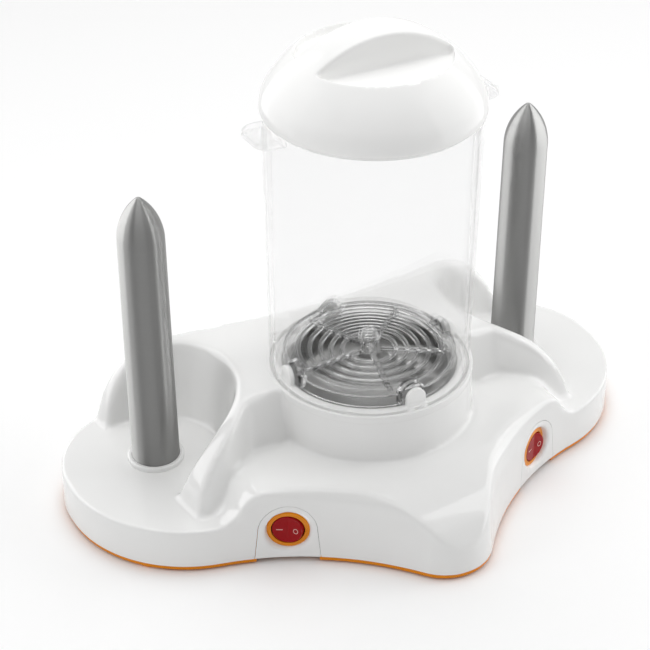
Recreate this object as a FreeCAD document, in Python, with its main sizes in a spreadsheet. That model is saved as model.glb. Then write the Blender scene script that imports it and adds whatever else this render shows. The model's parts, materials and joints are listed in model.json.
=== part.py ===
import FreeCAD
import Part
import math
import os
import re
import Sketcher
from FreeCAD import Placement, Rotation, Vector

# Hot dog steamer: a three-lobed housing with two heated bun spikes in guard walls, a round
# boiler with a tray under a clear jar in the middle, and one rocker switch for each heater.
# Origin: on the table, under the middle of the overall box. +X to the right lobe, the nose
# points to -Y, +Z up. Millimetres. A "level" is a height above the table, and a piece on both
# sides is modelled once, with the side as a sign of X.

doc = FreeCAD.newDocument("hot_dog_steamer")
sheet = doc.addObject("Spreadsheet::Sheet", "dims")

# Driving dimensions, each with its meaning. The jar axis is the plan's reference point.
DIMENSIONS = [
    ("foot_level", 1.6, "underside of the base plate"),
    ("foot_radius", 8.0, "foot"),
    ("foot_edge", 9.0, "middle of a foot inside the lobe's edge"),
    ("plate_thickness", 3.0, "base plate"),
    ("plate_inset", 0.8, "base plate's edge inside the housing's edge"),
    ("plate_lip", 4.0, "height of the base plate's locating lip"),
    ("plate_lip_wall", 1.6, "thickness of that lip"),
    ("vent_width", 3.0, "slot in the base plate under the boiler"),
    ("vent_pitch", 7.5, "step from slot to slot"),
    ("fit_gap", 0.3, "gap round a piece that drops into its seat"),
    ("panel_gap", 0.15, "parting line round a switch panel"),
    ("housing_wall", 2.5, "wall of the housing"),
    ("lobe_level", 27.5, "top of the side lobes"),
    ("shoulder_level", 34.0, "where the front walls start to round over"),
    ("deck_level", 46.6, "deck in front of the collar"),
    ("shoulder_depth", 13.0, "how far the front walls round over"),
    ("collar_level", 76.0, "top of the collar and of the plateau"),
    ("front_lobe_radius", 73.8, "round of a lobe's front at the seam"),
    ("front_lobe_y", 28.0, "middle of that round"),
    ("back_lobe_radius", 53.5, "round of a lobe's back at the seam, about the spike"),
    ("nose_radius", 28.4, "round of the nose at the seam"),
    ("nose_y", -83.8, "middle of the nose's round"),
    ("flank_radius", 168.0, "hollow flank between nose and lobe"),
    ("back_y", 66.5, "back wall in the middle plane at the seam"),
    ("back_draft", 0.015, "lean of the lobe and back walls for each millimetre of height"),
    ("front_draft", 0.13, "lean of the flank and nose walls for each millimetre of height"),
    ("nose_slope_radius", 62.0, "round of the nose from the deck down to its front"),
    ("nose_slope_turn", 80.0, "how far that round turns, degrees"),
    ("deck_half", 88.0, "deck's half length before it steps down to the lobe"),
    ("step_run", 30.0, "length of that step"),
    ("spike_x", 119.3, "spike axis from the middle plane"),
    ("spike_y", 31.9, "spike axis behind the jar axis"),
    ("pocket_radius_low", 39.0, "inside of the guard wall at the lobe"),
    ("pocket_radius_high", 46.8, "inside of the guard wall at its top"),
    ("guard_radius_low", 63.0, "outside of the guard wall at the lobe"),
    ("guard_radius_high", 54.0, "outside of the guard wall at its top"),
    ("guard_fall_radius", 58.2, "round of the guard wall's falling top"),
    ("guard_fall_start", 70.6, "where that top starts to fall, from the middle plane"),
    ("guard_turn", 8.0, "turn of the falling top about the spike, degrees"),
    ("plateau_front", -4.0, "front edge of the plateau beside the collar"),
    ("plateau_half", 96.0, "half length of the plateau"),
    ("plateau_lean", 0.35, "lean of the plateau's front for each millimetre of height"),
    ("collar_radius", 58.0, "collar at its top"),
    ("collar_draft", 0.03, "growth of the collar's radius for each millimetre down"),
    ("groove_depth", 4.0, "groove for the jar in the collar's top"),
    ("boiler_bore", 49.3, "opening inside the collar round the boiler's flange"),
    ("ledge_level", 71.6, "ledge that carries the boiler's seal"),
    ("ledge_thickness", 4.0, "that ledge"),
    ("tab_width", 11.5, "tab that locates the jar"),
    ("tab_height", 10.3, "height of a tab over the collar"),
    ("tab_radius", 51.2, "middle of a tab from the jar axis"),
    ("tab_wall", 2.4, "thickness of a tab"),
    ("boss_radius", 4.0, "screw boss"),
    ("screw_radius", 1.5, "screw's shank"),
    ("screw_head_radius", 2.9, "screw's head"),
    ("screw_head", 1.3, "height of a screw's head"),
    ("screw_gap", 0.1, "clearance round a screw"),
    ("screw_reach", 14.0, "length of a housing screw's shank"),
    ("clamp_screw_reach", 10.0, "length of a shank at the element's clamp"),
    ("jar_radius", 55.9, "jar at its bottom"),
    ("jar_top_radius", 58.0, "jar at its top"),
    ("jar_wall", 2.0, "wall of the jar"),
    ("jar_level", 230.0, "top edge of the jar"),
    ("ear_length", 13.5, "ear beyond the jar's top edge"),
    ("ear_width", 29.0, "ear"),
    ("ear_thickness", 3.0, "ear"),
    ("ear_round", 9.0, "corner of an ear"),
    ("lid_overhang", 0.9, "lid's widest place beyond the jar's top edge"),
    ("lid_corner", 21.0, "round of the lid above its rim"),
    ("lid_rise", 45.4, "lid from the jar's edge to its crown"),
    ("lid_widest", 2.6, "widest place of the lid above the jar's edge"),
    ("lid_wall", 2.2, "wall of the lid"),
    ("lid_lip", 2.5, "depth of the lid's lip inside the jar"),
    ("scoop_inset", 18.4, "finger scoops inside the lid's widest place"),
    ("scoop_depth", 18.6, "floor of the scoops below the crown"),
    ("bridge_width", 23.0, "handle left between the scoops"),
    ("pan_radius", 45.6, "outside of the boiler pan"),
    ("pan_depth", 23.0, "depth of the boiler pan"),
    ("pan_corner", 9.0, "round of the pan's bottom edge"),
    ("pan_wall", 0.8, "sheet of the pan"),
    ("pan_flange", 48.9, "flange of the pan"),
    ("seal_height", 3.2, "boiler's seal"),
    ("tray_radius", 48.5, "tray"),
    ("tray_rise", 7.5, "tray's top above the collar"),
    ("tray_plate", 1.8, "thickness of the tray's rim"),
    ("tray_rim", 41.5, "inside of the tray's rim"),
    ("tray_bar", 2.6, "width of a tray bar"),
    ("tray_bar_height", 2.4, "height of a tray bar"),
    ("tray_inner_ring", 15.0, "smallest ring of the tray"),
    ("tray_ring_pitch", 6.2, "step from ring to ring"),
    ("tray_spoke", 3.2, "width of a tray spoke"),
    ("hub_radius", 6.6, "tray's knob"),
    ("hub_height", 9.5, "tray's knob above its rim"),
    ("hub_wall", 1.6, "wall of the knob"),
    ("hood_radius", 6.6, "inside of the tray's hood over a tab"),
    ("hood_wall", 1.2, "wall of a hood"),
    ("hood_reach", 43.5, "inner end of a hood from the jar axis"),
    ("spreader_radius", 38.0, "heat spreader under the pan"),
    ("spreader_thickness", 4.0, "heat spreader"),
    ("element_radius", 28.0, "ring of the heating element"),
    ("element_tube", 3.3, "sheath of the heating element"),
    ("clamp_width", 14.0, "bar that holds the element up"),
    ("clamp_thickness", 1.4, "that bar"),
    ("clamp_reach", 51.0, "screws of that bar from the jar axis"),
    ("thermostat_radius", 7.5, "thermostat"),
    ("thermostat_height", 7.0, "thermostat with its rim"),
    ("thermostat_rim", 1.2, "thickness of its rim"),
    ("thermostat_y", -16.0, "thermostat in front of the jar axis"),
    ("fuse_radius", 3.0, "thermal fuse"),
    ("fuse_length", 18.0, "thermal fuse"),
    ("fuse_y", 13.0, "thermal fuse behind the jar axis"),
    ("spike_radius", 13.5, "spike at its foot"),
    ("spike_top_radius", 12.7, "spike where its tip starts"),
    ("spike_length", 165.7, "spike above the lobe"),
    ("spike_tip", 25.2, "length of the pointed tip"),
    ("spike_tip_round", 2.4, "round of the point"),
    ("spike_wall", 0.8, "sheet of the spike"),
    ("spike_foot", 17.0, "flange of the spike under the lobe"),
    ("spike_gap", 0.15, "clearance round the spike"),
    ("ring_width", 2.2, "ring round the spike"),
    ("ring_height", 2.7, "ring round the spike"),
    ("heater_radius", 9.0, "heating cartridge in the spike"),
    ("heater_length", 150.0, "heating cartridge"),
    ("holder_height", 6.0, "socket under the spike"),
    ("holder_bar", 3.0, "thickness of the socket's ears"),
    ("holder_reach", 24.0, "screws of the socket from the spike"),
    ("switch_x", 78.9, "switch from the middle plane"),
    ("switch_y", -53.3, "switch in front of the jar axis"),
    ("switch_level", 21.0, "middle of the switch"),
    ("switch_turn", 29.5, "turn of the switch's face away from the front, degrees"),
    ("panel_width", 34.0, "panel of the switch"),
    ("panel_ring", 14.9, "raised ring of the panel"),
    ("panel_proud", 1.0, "raised ring before the switch's reference plane"),
    ("panel_depth", 5.0, "panel's ring behind that plane"),
    ("bezel_radius", 12.0, "bezel"),
    ("bezel_front", 0.6, "bezel's face before the switch's reference plane"),
    ("bezel_thickness", 1.6, "bezel"),
    ("rocker_radius", 9.1, "ball that the rocker is cut from"),
    ("rocker_depth", 3.0, "rocker's pivot behind the bezel's face"),
    ("rocker_back", 4.0, "rocker behind its pivot"),
    ("rocker_travel", 18.0, "swing of the rocker, degrees"),
    ("rocker_gap", 0.15, "clearance round the rocker"),
    ("pivot_radius", 1.0, "rocker's pivot"),
    ("pivot_reach", 10.2, "end of a pivot from the rocker's middle"),
    ("pivot_gap", 0.05, "clearance round a pivot"),
    ("switch_body_radius", 10.6, "switch behind its bezel"),
    ("switch_body_depth", 19.0, "switch behind its bezel"),
    ("switch_cavity", 9.5, "depth of the rocker's space in the switch"),
    ("blade_length", 8.0, "switch's terminal"),
    ("blade_width", 4.8, "switch's terminal"),
    ("blade_thickness", 0.8, "switch's terminal"),
    ("blade_pitch", 4.0, "terminals from the switch's middle"),
    ("cord_radius", 3.4, "bore for the mains cord"),
    ("gland_half", 6.0, "cord gland in the wall, from its middle to its sides and top"),
    ("gland_flange", 8.4, "cord gland's flange, from its middle to its sides and top"),
    ("gland_sunk", 1.0, "flange sunk in the wall"),
    ("gland_flange_depth", 2.4, "cord gland's flange"),
    ("gland_length", 14.0, "cord gland behind its flange"),
    ("gland_level", 18.0, "cord above the table"),
    ("cord_clamp_width", 22.0, "cord clamp"),
    ("cord_clamp_depth", 8.0, "cord clamp"),
    ("terminal_y", 24.0, "terminal block behind the jar axis"),
    ("terminal_length", 38.0, "terminal block"),
    ("terminal_depth", 14.0, "terminal block"),
    ("terminal_height", 12.0, "terminal block"),
]

ALIASES = set()
for row, (alias, value, meaning) in enumerate(DIMENSIONS, start=1):
    sheet.set("A%d" % row, meaning)
    sheet.set("B%d" % row, str(value))
    sheet.setAlias("B%d" % row, alias)
    ALIASES.add(alias)
doc.recompute()

# Lengths that follow from the sheet, as formulas in its words.
JAR_Y = "(nose_radius - nose_y - spike_y - back_lobe_radius) / 2"
SEAM = "(foot_level + plate_thickness)"
PAN_TOP = "(ledge_level + seal_height)"
PAN_BOTTOM = "(ledge_level + seal_height - pan_depth)"
TRAY_TOP = "(collar_level + tray_rise)"
SPREADER_BOTTOM = "(ledge_level + seal_height - pan_depth - spreader_thickness)"
CLAMP_TOP = "(" + SPREADER_BOTTOM + " - 2 * element_tube)"
CEILING = "(lobe_level - housing_wall)"
LID_RADIUS = "(jar_top_radius + lid_overhang)"
SCOOP_RADIUS = "(jar_top_radius + lid_overhang - scoop_inset)"
LID_FOOT = "(jar_level + fit_gap)"
GLAND_SEAT = "(back_y - back_draft * (gland_level - foot_level) - gland_sunk)"
HOLDER_TOP = "(lobe_level - housing_wall - spike_wall)"
HOLDER_BAR_TOP = "(" + HOLDER_TOP + " - holder_height + holder_bar)"
PIVOT = "(rocker_depth - bezel_front)"
SIDES = (("left", -1), ("right", 1))
TRAY_RINGS = 5
TRAY_SPOKES = 5
FIRST_SPOKE = -32
VENTS = 9
# How far a cutting tool passes the face that it opens.
PAST = 1


def bound(text):
    """The formula with its words made into cells of the sheet."""
    return re.sub("[a-z_]+", lambda word: "dims." + word[0] if word[0] in ALIASES else word[0], text)


def size(text):
    """The value of a formula in the sheet's words."""
    return float(sheet.evalExpression(bound(text)))


def jar_point(x, y, z):
    """A point given from the jar axis."""
    return Vector(x, y + size(JAR_Y), z)


def from_jar(y="0"):
    """Formula for a place along Y that is given from the jar axis."""
    return y + " + " + JAR_Y


# Solids whose sizes are bound to the sheet


def place(solid, at, turn=None):
    """Binds a solid's place to the sheet. Without one, its placement is set later."""
    if at is None:
        return solid
    if turn is not None:
        solid.Placement = Placement(Vector(0, 0, 0), turn)
    for axis, text in zip("xyz", at):
        solid.setExpression("Placement.Base." + axis, bound(text))
    return solid


def cylinder(name, radius, height, at, turn=None):
    solid = doc.addObject("Part::Cylinder", name)
    solid.setExpression("Radius", bound(radius))
    solid.setExpression("Height", bound(height))
    return place(solid, at, turn)


def cone(name, low_radius, high_radius, height, at):
    solid = doc.addObject("Part::Cone", name)
    solid.setExpression("Radius1", bound(low_radius))
    solid.setExpression("Radius2", bound(high_radius))
    solid.setExpression("Height", bound(height))
    return place(solid, at)


def box(name, length, width, height, at, turn=None):
    solid = doc.addObject("Part::Box", name)
    solid.setExpression("Length", bound(length))
    solid.setExpression("Width", bound(width))
    solid.setExpression("Height", bound(height))
    return place(solid, at, turn)


def fused(name, solids):
    result = doc.addObject("Part::MultiFuse", name)
    result.Shapes = solids
    return result


def cut(name, base, tools):
    result = doc.addObject("Part::Cut", name)
    result.Base = base
    result.Tool = tools[0] if len(tools) == 1 else fused(name + "_tools", tools)
    return result


def tube(name, outer, inner, height, at):
    shell = cylinder(name + "_outer", outer, height, at)
    return cut(name, shell, [cylinder(name + "_inner", inner, height, at)])


def feature(name, shape, placement=None):
    result = doc.addObject("Part::Feature", name)
    result.Shape = shape
    if placement is not None:
        result.Placement = placement
    return result


def revolved(name, corners, at=("0", "0", "0")):
    """Body turned about Z. A corner is (radius, level), or with the radius and side of an arc
    from it to the next corner."""
    body = doc.addObject("PartDesign::Body", name)
    sketch = body.newObject("Sketcher::SketchObject", name + "_profile")
    plane = [item for item in body.Origin.OriginFeatures if item.Role == "XZ_Plane"][0]
    sketch.AttachmentSupport = [(plane, "")]
    sketch.MapMode = "FlatFace"
    draw_profile(sketch, corners)
    turn = body.newObject("PartDesign::Revolution", name + "_turned")
    turn.Profile = sketch
    turn.ReferenceAxis = (sketch, ["V_Axis"])
    turn.Angle = 360
    return place(body, at)


def draw_profile(sketch, corners):
    points = [Vector(size(corner[0]), size(corner[1]), 0) for corner in corners]
    for number, corner in enumerate(corners):
        start = points[number]
        end = points[(number + 1) % len(points)]
        if len(corner) == 2:
            sketch.addGeometry(Part.LineSegment(start, end), False)
        else:
            sketch.addGeometry(arc_through(start, end, size(corner[2]), corner[3]), False)
    for number, corner in enumerate(corners):
        bind_corner(sketch, number, corner, len(corners))


def arc_through(start, end, radius, side):
    """Arc of less than half a turn, drawn against the clock as sketches keep it. Side 1 bulges to
    the right of the way from start to end."""
    chord = end - start
    middle = (start + end) * 0.5
    right = Vector(chord.y, -chord.x, 0).normalize()
    rise = math.sqrt(max(radius ** 2 - (chord.Length / 2) ** 2, 0))
    top = middle + right * side * (radius - rise)
    return Part.Arc(start, top, end) if side > 0 else Part.Arc(end, top, start)


def bind_corner(sketch, number, corner, count):
    """Joins the corner to the piece before it and binds it to the sheet."""
    before = (number - 1) % count
    here = Vector(size(corner[0]), size(corner[1]), 0)
    start = nearest_end(sketch, number, here)
    end = nearest_end(sketch, before, here)
    sketch.addConstraint(Sketcher.Constraint("Coincident", before, end, number, start))
    for kind, text in (("DistanceX", corner[0]), ("DistanceY", corner[1])):
        if text == "0":
            axis = -2 if kind == "DistanceX" else -1
            sketch.addConstraint(Sketcher.Constraint("PointOnObject", number, start, axis))
            continue
        rule = sketch.addConstraint(Sketcher.Constraint(kind, -1, 1, number, start, size(text)))
        sketch.setExpression("Constraints[%d]" % rule, bound(text))
    if len(corner) == 4:
        rule = sketch.addConstraint(Sketcher.Constraint("Radius", number, size(corner[2])))
        sketch.setExpression("Constraints[%d]" % rule, bound(corner[2]))


def nearest_end(sketch, number, point):
    piece = sketch.Geometry[number]
    return 1 if piece.StartPoint.distanceToPoint(point) < 0.001 else 2


# Plan outline and outer form of the housing


def touching_centre(first, first_radius, second, second_radius, radius):
    """Centre, on the nose's side, of the circle that touches two circles from outside."""
    away = second - first
    gap = away.Length
    reach_first = radius + first_radius
    reach_second = radius + second_radius
    along = (reach_first ** 2 - reach_second ** 2 + gap ** 2) / (2 * gap)
    off = math.sqrt(reach_first ** 2 - along ** 2)
    unit = away.normalize()
    return first + unit * along + Vector(unit.y, -unit.x, 0) * off


def arc_about(centre, radius, start, end):
    """Shorter arc about the centre."""
    lean = ((start + end) * 0.5 - centre).normalize()
    return Part.Arc(start, centre + lean * radius, end).toShape()


def outline(level, inset, front_inset):
    """Plan outline at a level: nose, hollow flanks, lobes and back. The front inset is for the
    nose and the flanks, and the inset is for the rest."""
    nose = jar_point(0, size("nose_y"), level)
    nose_radius = size("nose_radius") - front_inset
    flank_radius = size("flank_radius") + front_inset
    front_radius = size("front_lobe_radius") - inset
    back_radius = size("back_lobe_radius") - inset
    half = size("spike_x + back_lobe_radius")
    front = jar_point(half - size("front_lobe_radius"), size("front_lobe_y"), level)
    rear = jar_point(size("spike_x"), size("spike_y"), level)
    flank = touching_centre(nose, nose_radius, front, front_radius, flank_radius)
    nose_end = nose + (flank - nose).normalize() * nose_radius
    flank_end = front + (flank - front).normalize() * front_radius
    side_low = front + Vector(front_radius, 0, 0)
    side_high = rear + Vector(back_radius, 0, 0)
    back_wall = size("back_y") - inset
    drop = back_wall - size("spike_y")
    hollow = (size("spike_x") ** 2 + drop ** 2 - back_radius ** 2) / (2 * (back_radius - drop))
    back = jar_point(0, back_wall + hollow, level)
    back_end = rear + (back - rear).normalize() * back_radius
    round_top = rear + Vector(1, 1, 0).normalize() * back_radius

    def other_side(point):
        return Vector(-point.x, point.y, point.z)

    edges = [
        Part.Arc(other_side(nose_end), nose - Vector(0, nose_radius, 0), nose_end).toShape(),
        arc_about(flank, flank_radius, nose_end, flank_end),
        arc_about(front, front_radius, flank_end, side_low),
        Part.makeLine(side_low, side_high),
        Part.Arc(side_high, round_top, back_end).toShape(),
        Part.Arc(back_end, back - Vector(0, hollow, 0), other_side(back_end)).toShape(),
        Part.Arc(other_side(back_end), other_side(round_top), other_side(side_high)).toShape(),
        Part.makeLine(other_side(side_high), other_side(side_low)),
        arc_about(other_side(front), front_radius, other_side(side_low), other_side(flank_end)),
        arc_about(other_side(flank), flank_radius, other_side(flank_end), other_side(nose_end)),
    ]
    return Part.Wire(edges)


def walled(levels, inset):
    """Solid through outlines at the levels, each given with its extra inset at the front."""
    seam = size(SEAM)
    wires = []
    for level, extra in levels:
        rise = max(level - seam, 0)
        back = inset + size("back_draft") * rise
        wires.append(outline(level, back, inset + size("front_draft") * rise + extra))
    result = Part.makeLoft(wires[:2], True, True)
    for number in range(1, len(wires) - 1):
        result = result.fuse(Part.makeLoft(wires[number:number + 2], True, True))
    return result.removeSplitter()


def lower_form(low, inset):
    """Deck, lobes and nose, without the walls that stand on them."""
    shoulder = size("shoulder_level") - inset
    rise = size("deck_level") - inset - shoulder
    levels = [(low, 0), (shoulder, 0)]
    for step in (1, 2, 3):
        angle = math.radians(30 * step)
        depth = size("shoulder_depth") * (1 - math.cos(angle))
        levels.append((shoulder + rise * math.sin(angle), depth))
    form = walled(levels, inset)
    form = form.common(deck_profile(low, inset))
    return form.common(nose_profile(low, inset))


def deck_profile(low, inset):
    """Keeps what lies under the deck, its step and the lobes."""
    deck = size("deck_level") - inset
    lobe = size("lobe_level") - inset
    start = size("deck_half") - inset
    run = size("step_run")
    radius = (run ** 2 + (deck - lobe) ** 2) / (4 * (deck - lobe))
    wide = size("spike_x + 2 * back_lobe_radius")
    deep = size("nose_radius - nose_y + 2 * back_lobe_radius")

    def corner(x, z):
        return Vector(x, -deep, z)

    edges = []
    for side in (-1, 1):
        top = corner(side * start, deck)
        middle = corner(side * (start + run / 2), (deck + lobe) / 2)
        foot = corner(side * (start + run), lobe)
        high = arc_through_side(top, middle, Vector(side * start, -deep, deck - radius), radius)
        down = arc_through_side(middle, foot, Vector(side * (start + run), -deep, lobe + radius), radius)
        edges += [high, down, Part.makeLine(foot, corner(side * wide, lobe))]
        edges.append(Part.makeLine(corner(side * wide, lobe), corner(side * wide, low)))
    edges.append(Part.makeLine(corner(-start, deck), corner(start, deck)))
    edges.append(Part.makeLine(corner(-wide, low), corner(wide, low)))
    face = Part.Face(Part.Wire(Part.__sortEdges__(edges)))
    return face.extrude(Vector(0, 2 * deep, 0))


def arc_through_side(start, end, centre, radius):
    lean = ((start + end) * 0.5 - centre).normalize()
    return Part.Arc(start, centre + lean * radius, end).toShape()


def nose_profile(low, inset):
    """Keeps what lies under the nose's round slope."""
    deck = size("deck_level") - inset
    start = size("-collar_radius - collar_draft * (collar_level - deck_level)")
    radius = size("nose_slope_radius") - inset
    wide = size("spike_x + 2 * back_lobe_radius")
    turn = math.radians(size("nose_slope_turn"))
    front = start - radius * math.sin(turn)
    end = deck - radius * (1 - math.cos(turn))
    top = jar_point(-wide, start, deck)
    foot = jar_point(-wide, front, end)
    slope = arc_through_side(top, foot, jar_point(-wide, start, deck - radius), radius)
    back = size("2 * back_lobe_radius + spike_y")
    edges = [
        slope,
        Part.makeLine(foot, jar_point(-wide, front, low - radius)),
        Part.makeLine(jar_point(-wide, front, low - radius), jar_point(-wide, back, low - radius)),
        Part.makeLine(jar_point(-wide, back, low - radius), jar_point(-wide, back, deck)),
        Part.makeLine(jar_point(-wide, back, deck), top),
    ]
    face = Part.Face(Part.Wire(Part.__sortEdges__(edges)))
    return face.extrude(Vector(2 * wide, 0, 0))


def upright_cone(centre, low, high, low_radius, high_radius):
    return Part.makeCone(low_radius, high_radius, high - low, Vector(centre.x, centre.y, low))


def pocket(side, inset):
    """Bun space round a spike, open upwards and to the side."""
    low = size("lobe_level") - inset
    high = size("collar_level") + size("housing_wall")
    slope = size("(pocket_radius_high - pocket_radius_low) / (collar_level - lobe_level)")
    low_radius = size("pocket_radius_low") + inset
    high_radius = low_radius + slope * (high - low)
    centre = jar_point(side * size("spike_x"), size("spike_y"), 0)
    return upright_cone(centre, low, high, low_radius, high_radius)


def guard_top(side, low, inset):
    """Keeps what lies under the falling top of a guard wall."""
    radius = size("guard_fall_radius") - inset
    start = size("guard_fall_start")
    top = size("collar_level") - inset
    wide = size("spike_x + 2 * back_lobe_radius")
    end = start + radius
    edges = [
        Part.makeLine(Vector(-wide, -wide, low), Vector(-wide, -wide, top)),
        Part.makeLine(Vector(-wide, -wide, top), Vector(start, -wide, top)),
        arc_through_side(Vector(start, -wide, top), Vector(end, -wide, top - radius),
                         Vector(start, -wide, top - radius), radius),
        Part.makeLine(Vector(end, -wide, top - radius), Vector(end, -wide, low)),
        Part.makeLine(Vector(end, -wide, low), Vector(-wide, -wide, low)),
    ]
    keep = Part.Face(Part.Wire(Part.__sortEdges__(edges))).extrude(Vector(0, 2 * wide, 0))
    keep.rotate(Vector(0, 0, 0), Vector(0, 0, 1), -size("guard_turn"))
    keep.translate(jar_point(0, size("spike_y"), 0))
    return keep if side > 0 else keep.mirror(Vector(0, 0, 0), Vector(1, 0, 0))


def upper_form(inset):
    """Plateau and guard walls of both sides, with the collar."""
    low = size(SEAM) + size("plate_lip")
    top = size("collar_level") - inset
    half = size("plateau_half")
    lean = size("plateau_lean") * (top - low)
    front = size("plateau_front") + inset
    back = size("spike_y + 2 * back_lobe_radius")
    side_face = Part.Face(Part.makePolygon([
        jar_point(-half, front - lean, low),
        jar_point(-half, front, top),
        jar_point(-half, back, top),
        jar_point(-half, back, low),
        jar_point(-half, front - lean, low),
    ]))
    plateau = side_face.extrude(Vector(2 * half, 0, 0))
    form = plateau
    for side in (-1, 1):
        centre = jar_point(side * size("spike_x"), size("spike_y"), 0)
        slope = size("(guard_radius_low - guard_radius_high) / (collar_level - lobe_level)")
        low_radius = size("guard_radius_low") - inset + slope * (size("lobe_level") - low)
        high_radius = low_radius - slope * (top - low)
        form = form.fuse(upright_cone(centre, low, top, low_radius, high_radius))
    for side in (-1, 1):
        form = form.common(guard_top(side, low, inset))
    form = form.common(walled([(low, 0), (top, 0)], inset))
    foot_radius = size("collar_radius + collar_draft * collar_level") - inset
    growth = size("collar_draft")
    low_radius = foot_radius - growth * low
    return form.fuse(upright_cone(jar_point(0, 0, 0), low, top, low_radius, foot_radius - growth * top))


def housing_form(low, inset):
    """Whole outside of the housing, or the space inside its walls."""
    form = lower_form(low, inset).fuse(upper_form(inset))
    for side in (-1, 1):
        form = form.cut(pocket(side, inset))
    return form


def switch_placement(side):
    turn = Rotation(Vector(0, 0, 1), side * size("switch_turn"))
    return Placement(jar_point(side * size("switch_x"), size("switch_y"), size("switch_level")), turn)


def panel_prism(side, grow, depth):
    """Arched block that bounds a switch panel, from the base plate's underside up, and reaches
    the given depth behind the switch's reference plane."""
    half = size("panel_width") / 2 + grow
    low = size("foot_level - switch_level") - grow
    reach = size("panel_width")

    def corner(x, z):
        return Vector(x, -reach, z)

    edges = [
        Part.makeLine(corner(-half, low), corner(half, low)),
        Part.makeLine(corner(half, low), corner(half, 0)),
        Part.Arc(corner(half, 0), corner(0, half), corner(-half, 0)).toShape(),
        Part.makeLine(corner(-half, 0), corner(-half, low)),
    ]
    prism = Part.Face(Part.Wire(edges)).extrude(Vector(0, reach + depth, 0))
    prism.Placement = switch_placement(side)
    return prism


def switch_cylinder(side, radius, front, back):
    """Cylinder along a switch's axis, from front to back behind its reference plane."""
    result = Part.makeCylinder(radius, back - front, Vector(0, front, 0), Vector(0, 1, 0))
    result.Placement = switch_placement(side)
    return result


def screw_places():
    """Housing screws: nose, lobes' fronts and backs, and the back wall."""
    places = [(0, size("nose_y"))]
    middle = size("spike_x + back_lobe_radius - front_lobe_radius")
    reach = size("front_lobe_radius")
    back = size("back_y - housing_wall - 2 * boss_radius")
    for _, side in SIDES:
        places.append((side * (middle + reach / 3), size("front_lobe_y") - reach * 2 / 3))
        places.append((side * size("spike_x - 2 * boss_radius"), size("spike_y + pocket_radius_low")))
        places.append((side * size("pan_radius - 2 * boss_radius"), back))
    return places


def upper_housing():
    shell = housing_form(size(SEAM), 0).cut(housing_form(size(SEAM) - PAST, size("housing_wall")))
    axis = jar_point(0, 0, 0)
    ledge_low = size("ledge_level - ledge_thickness")
    collar = size("collar_level")
    ring_radius = size("collar_radius - housing_wall / 2")
    shell = shell.fuse(Part.makeCylinder(ring_radius, collar - ledge_low, axis + Vector(0, 0, ledge_low)))
    space = housing_form(size(SEAM) - PAST, size("housing_wall") / 2)
    radius = size("boss_radius")
    depth = size("holder_height + 2 * housing_wall")
    bosses = []
    for x, y in screw_places():
        bosses.append(Part.makeCylinder(radius, collar, jar_point(x, y, size(SEAM))).common(space))
    for _, side in SIDES:
        for way in (-1, 1):
            back = size("spike_y") + way * size("holder_reach")
            foot = jar_point(side * size("spike_x"), back, size(HOLDER_BAR_TOP))
            bosses.append(Part.makeCylinder(radius, depth, foot).common(space))
        foot = jar_point(side * size("clamp_reach"), 0, size(CLAMP_TOP))
        bosses.append(Part.makeCylinder(radius, ledge_low - foot.z, foot))
    shell = shell.fuse(bosses)
    shell = shell.cut(upper_housing_holes(axis, collar, ledge_low))
    return feature("upper_housing", shell.fuse(jar_tabs()).removeSplitter())


def upper_housing_holes(axis, collar, ledge_low):
    """Everything that is cut out of the housing."""
    groove_outer = size("jar_radius + fit_gap")
    groove_inner = size("jar_radius - jar_wall - fit_gap")
    groove_low = size("collar_level - groove_depth")
    deep = size("groove_depth") + PAST
    groove = Part.makeCylinder(groove_outer, deep, axis + Vector(0, 0, groove_low))
    groove = groove.cut(Part.makeCylinder(groove_inner, deep, axis + Vector(0, 0, groove_low)))
    ledge = size("ledge_level")
    tools = [groove]
    tools.append(Part.makeCylinder(size("boiler_bore"), collar, axis + Vector(0, 0, ledge)))
    foot = axis + Vector(0, 0, ledge_low - PAST)
    tools.append(Part.makeCylinder(size("pan_radius + 2 * fit_gap"), collar, foot))
    pilot = size("screw_radius + screw_gap")
    for x, y in screw_places():
        tools.append(Part.makeCylinder(pilot, size("screw_reach"), jar_point(x, y, size(SEAM) - PAST)))
    for _, side in SIDES:
        spike = jar_point(side * size("spike_x"), size("spike_y"), 0)
        tools.append(Part.makeCylinder(size("spike_radius + spike_gap"), collar, spike))
        for way in (-1, 1):
            foot = spike + Vector(0, way * size("holder_reach"), size(HOLDER_BAR_TOP) - PAST)
            tools.append(Part.makeCylinder(pilot, size("holder_height"), foot))
        foot = jar_point(side * size("clamp_reach"), 0, size(CLAMP_TOP) - PAST)
        tools.append(Part.makeCylinder(pilot, size("clamp_screw_reach") + PAST, foot))
        tools.append(panel_prism(side, size("panel_gap"), size("housing_wall + panel_depth")))
    tools.append(gland_slot(size("gland_half + screw_gap"), -size("gland_length")))
    tools.append(gland_slot(size("gland_flange + screw_gap"), 0))
    return tools


def gland_slot(half, shift):
    """Slot in the back wall, open at the seam, that starts at a shift from the gland's seat."""
    low = size(SEAM) - PAST
    start = size(GLAND_SEAT) + shift
    height = size("gland_level") + half - low
    return Part.makeBox(2 * half, size("back_y") + PAST - start, height, jar_point(-half, start, low))


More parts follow.
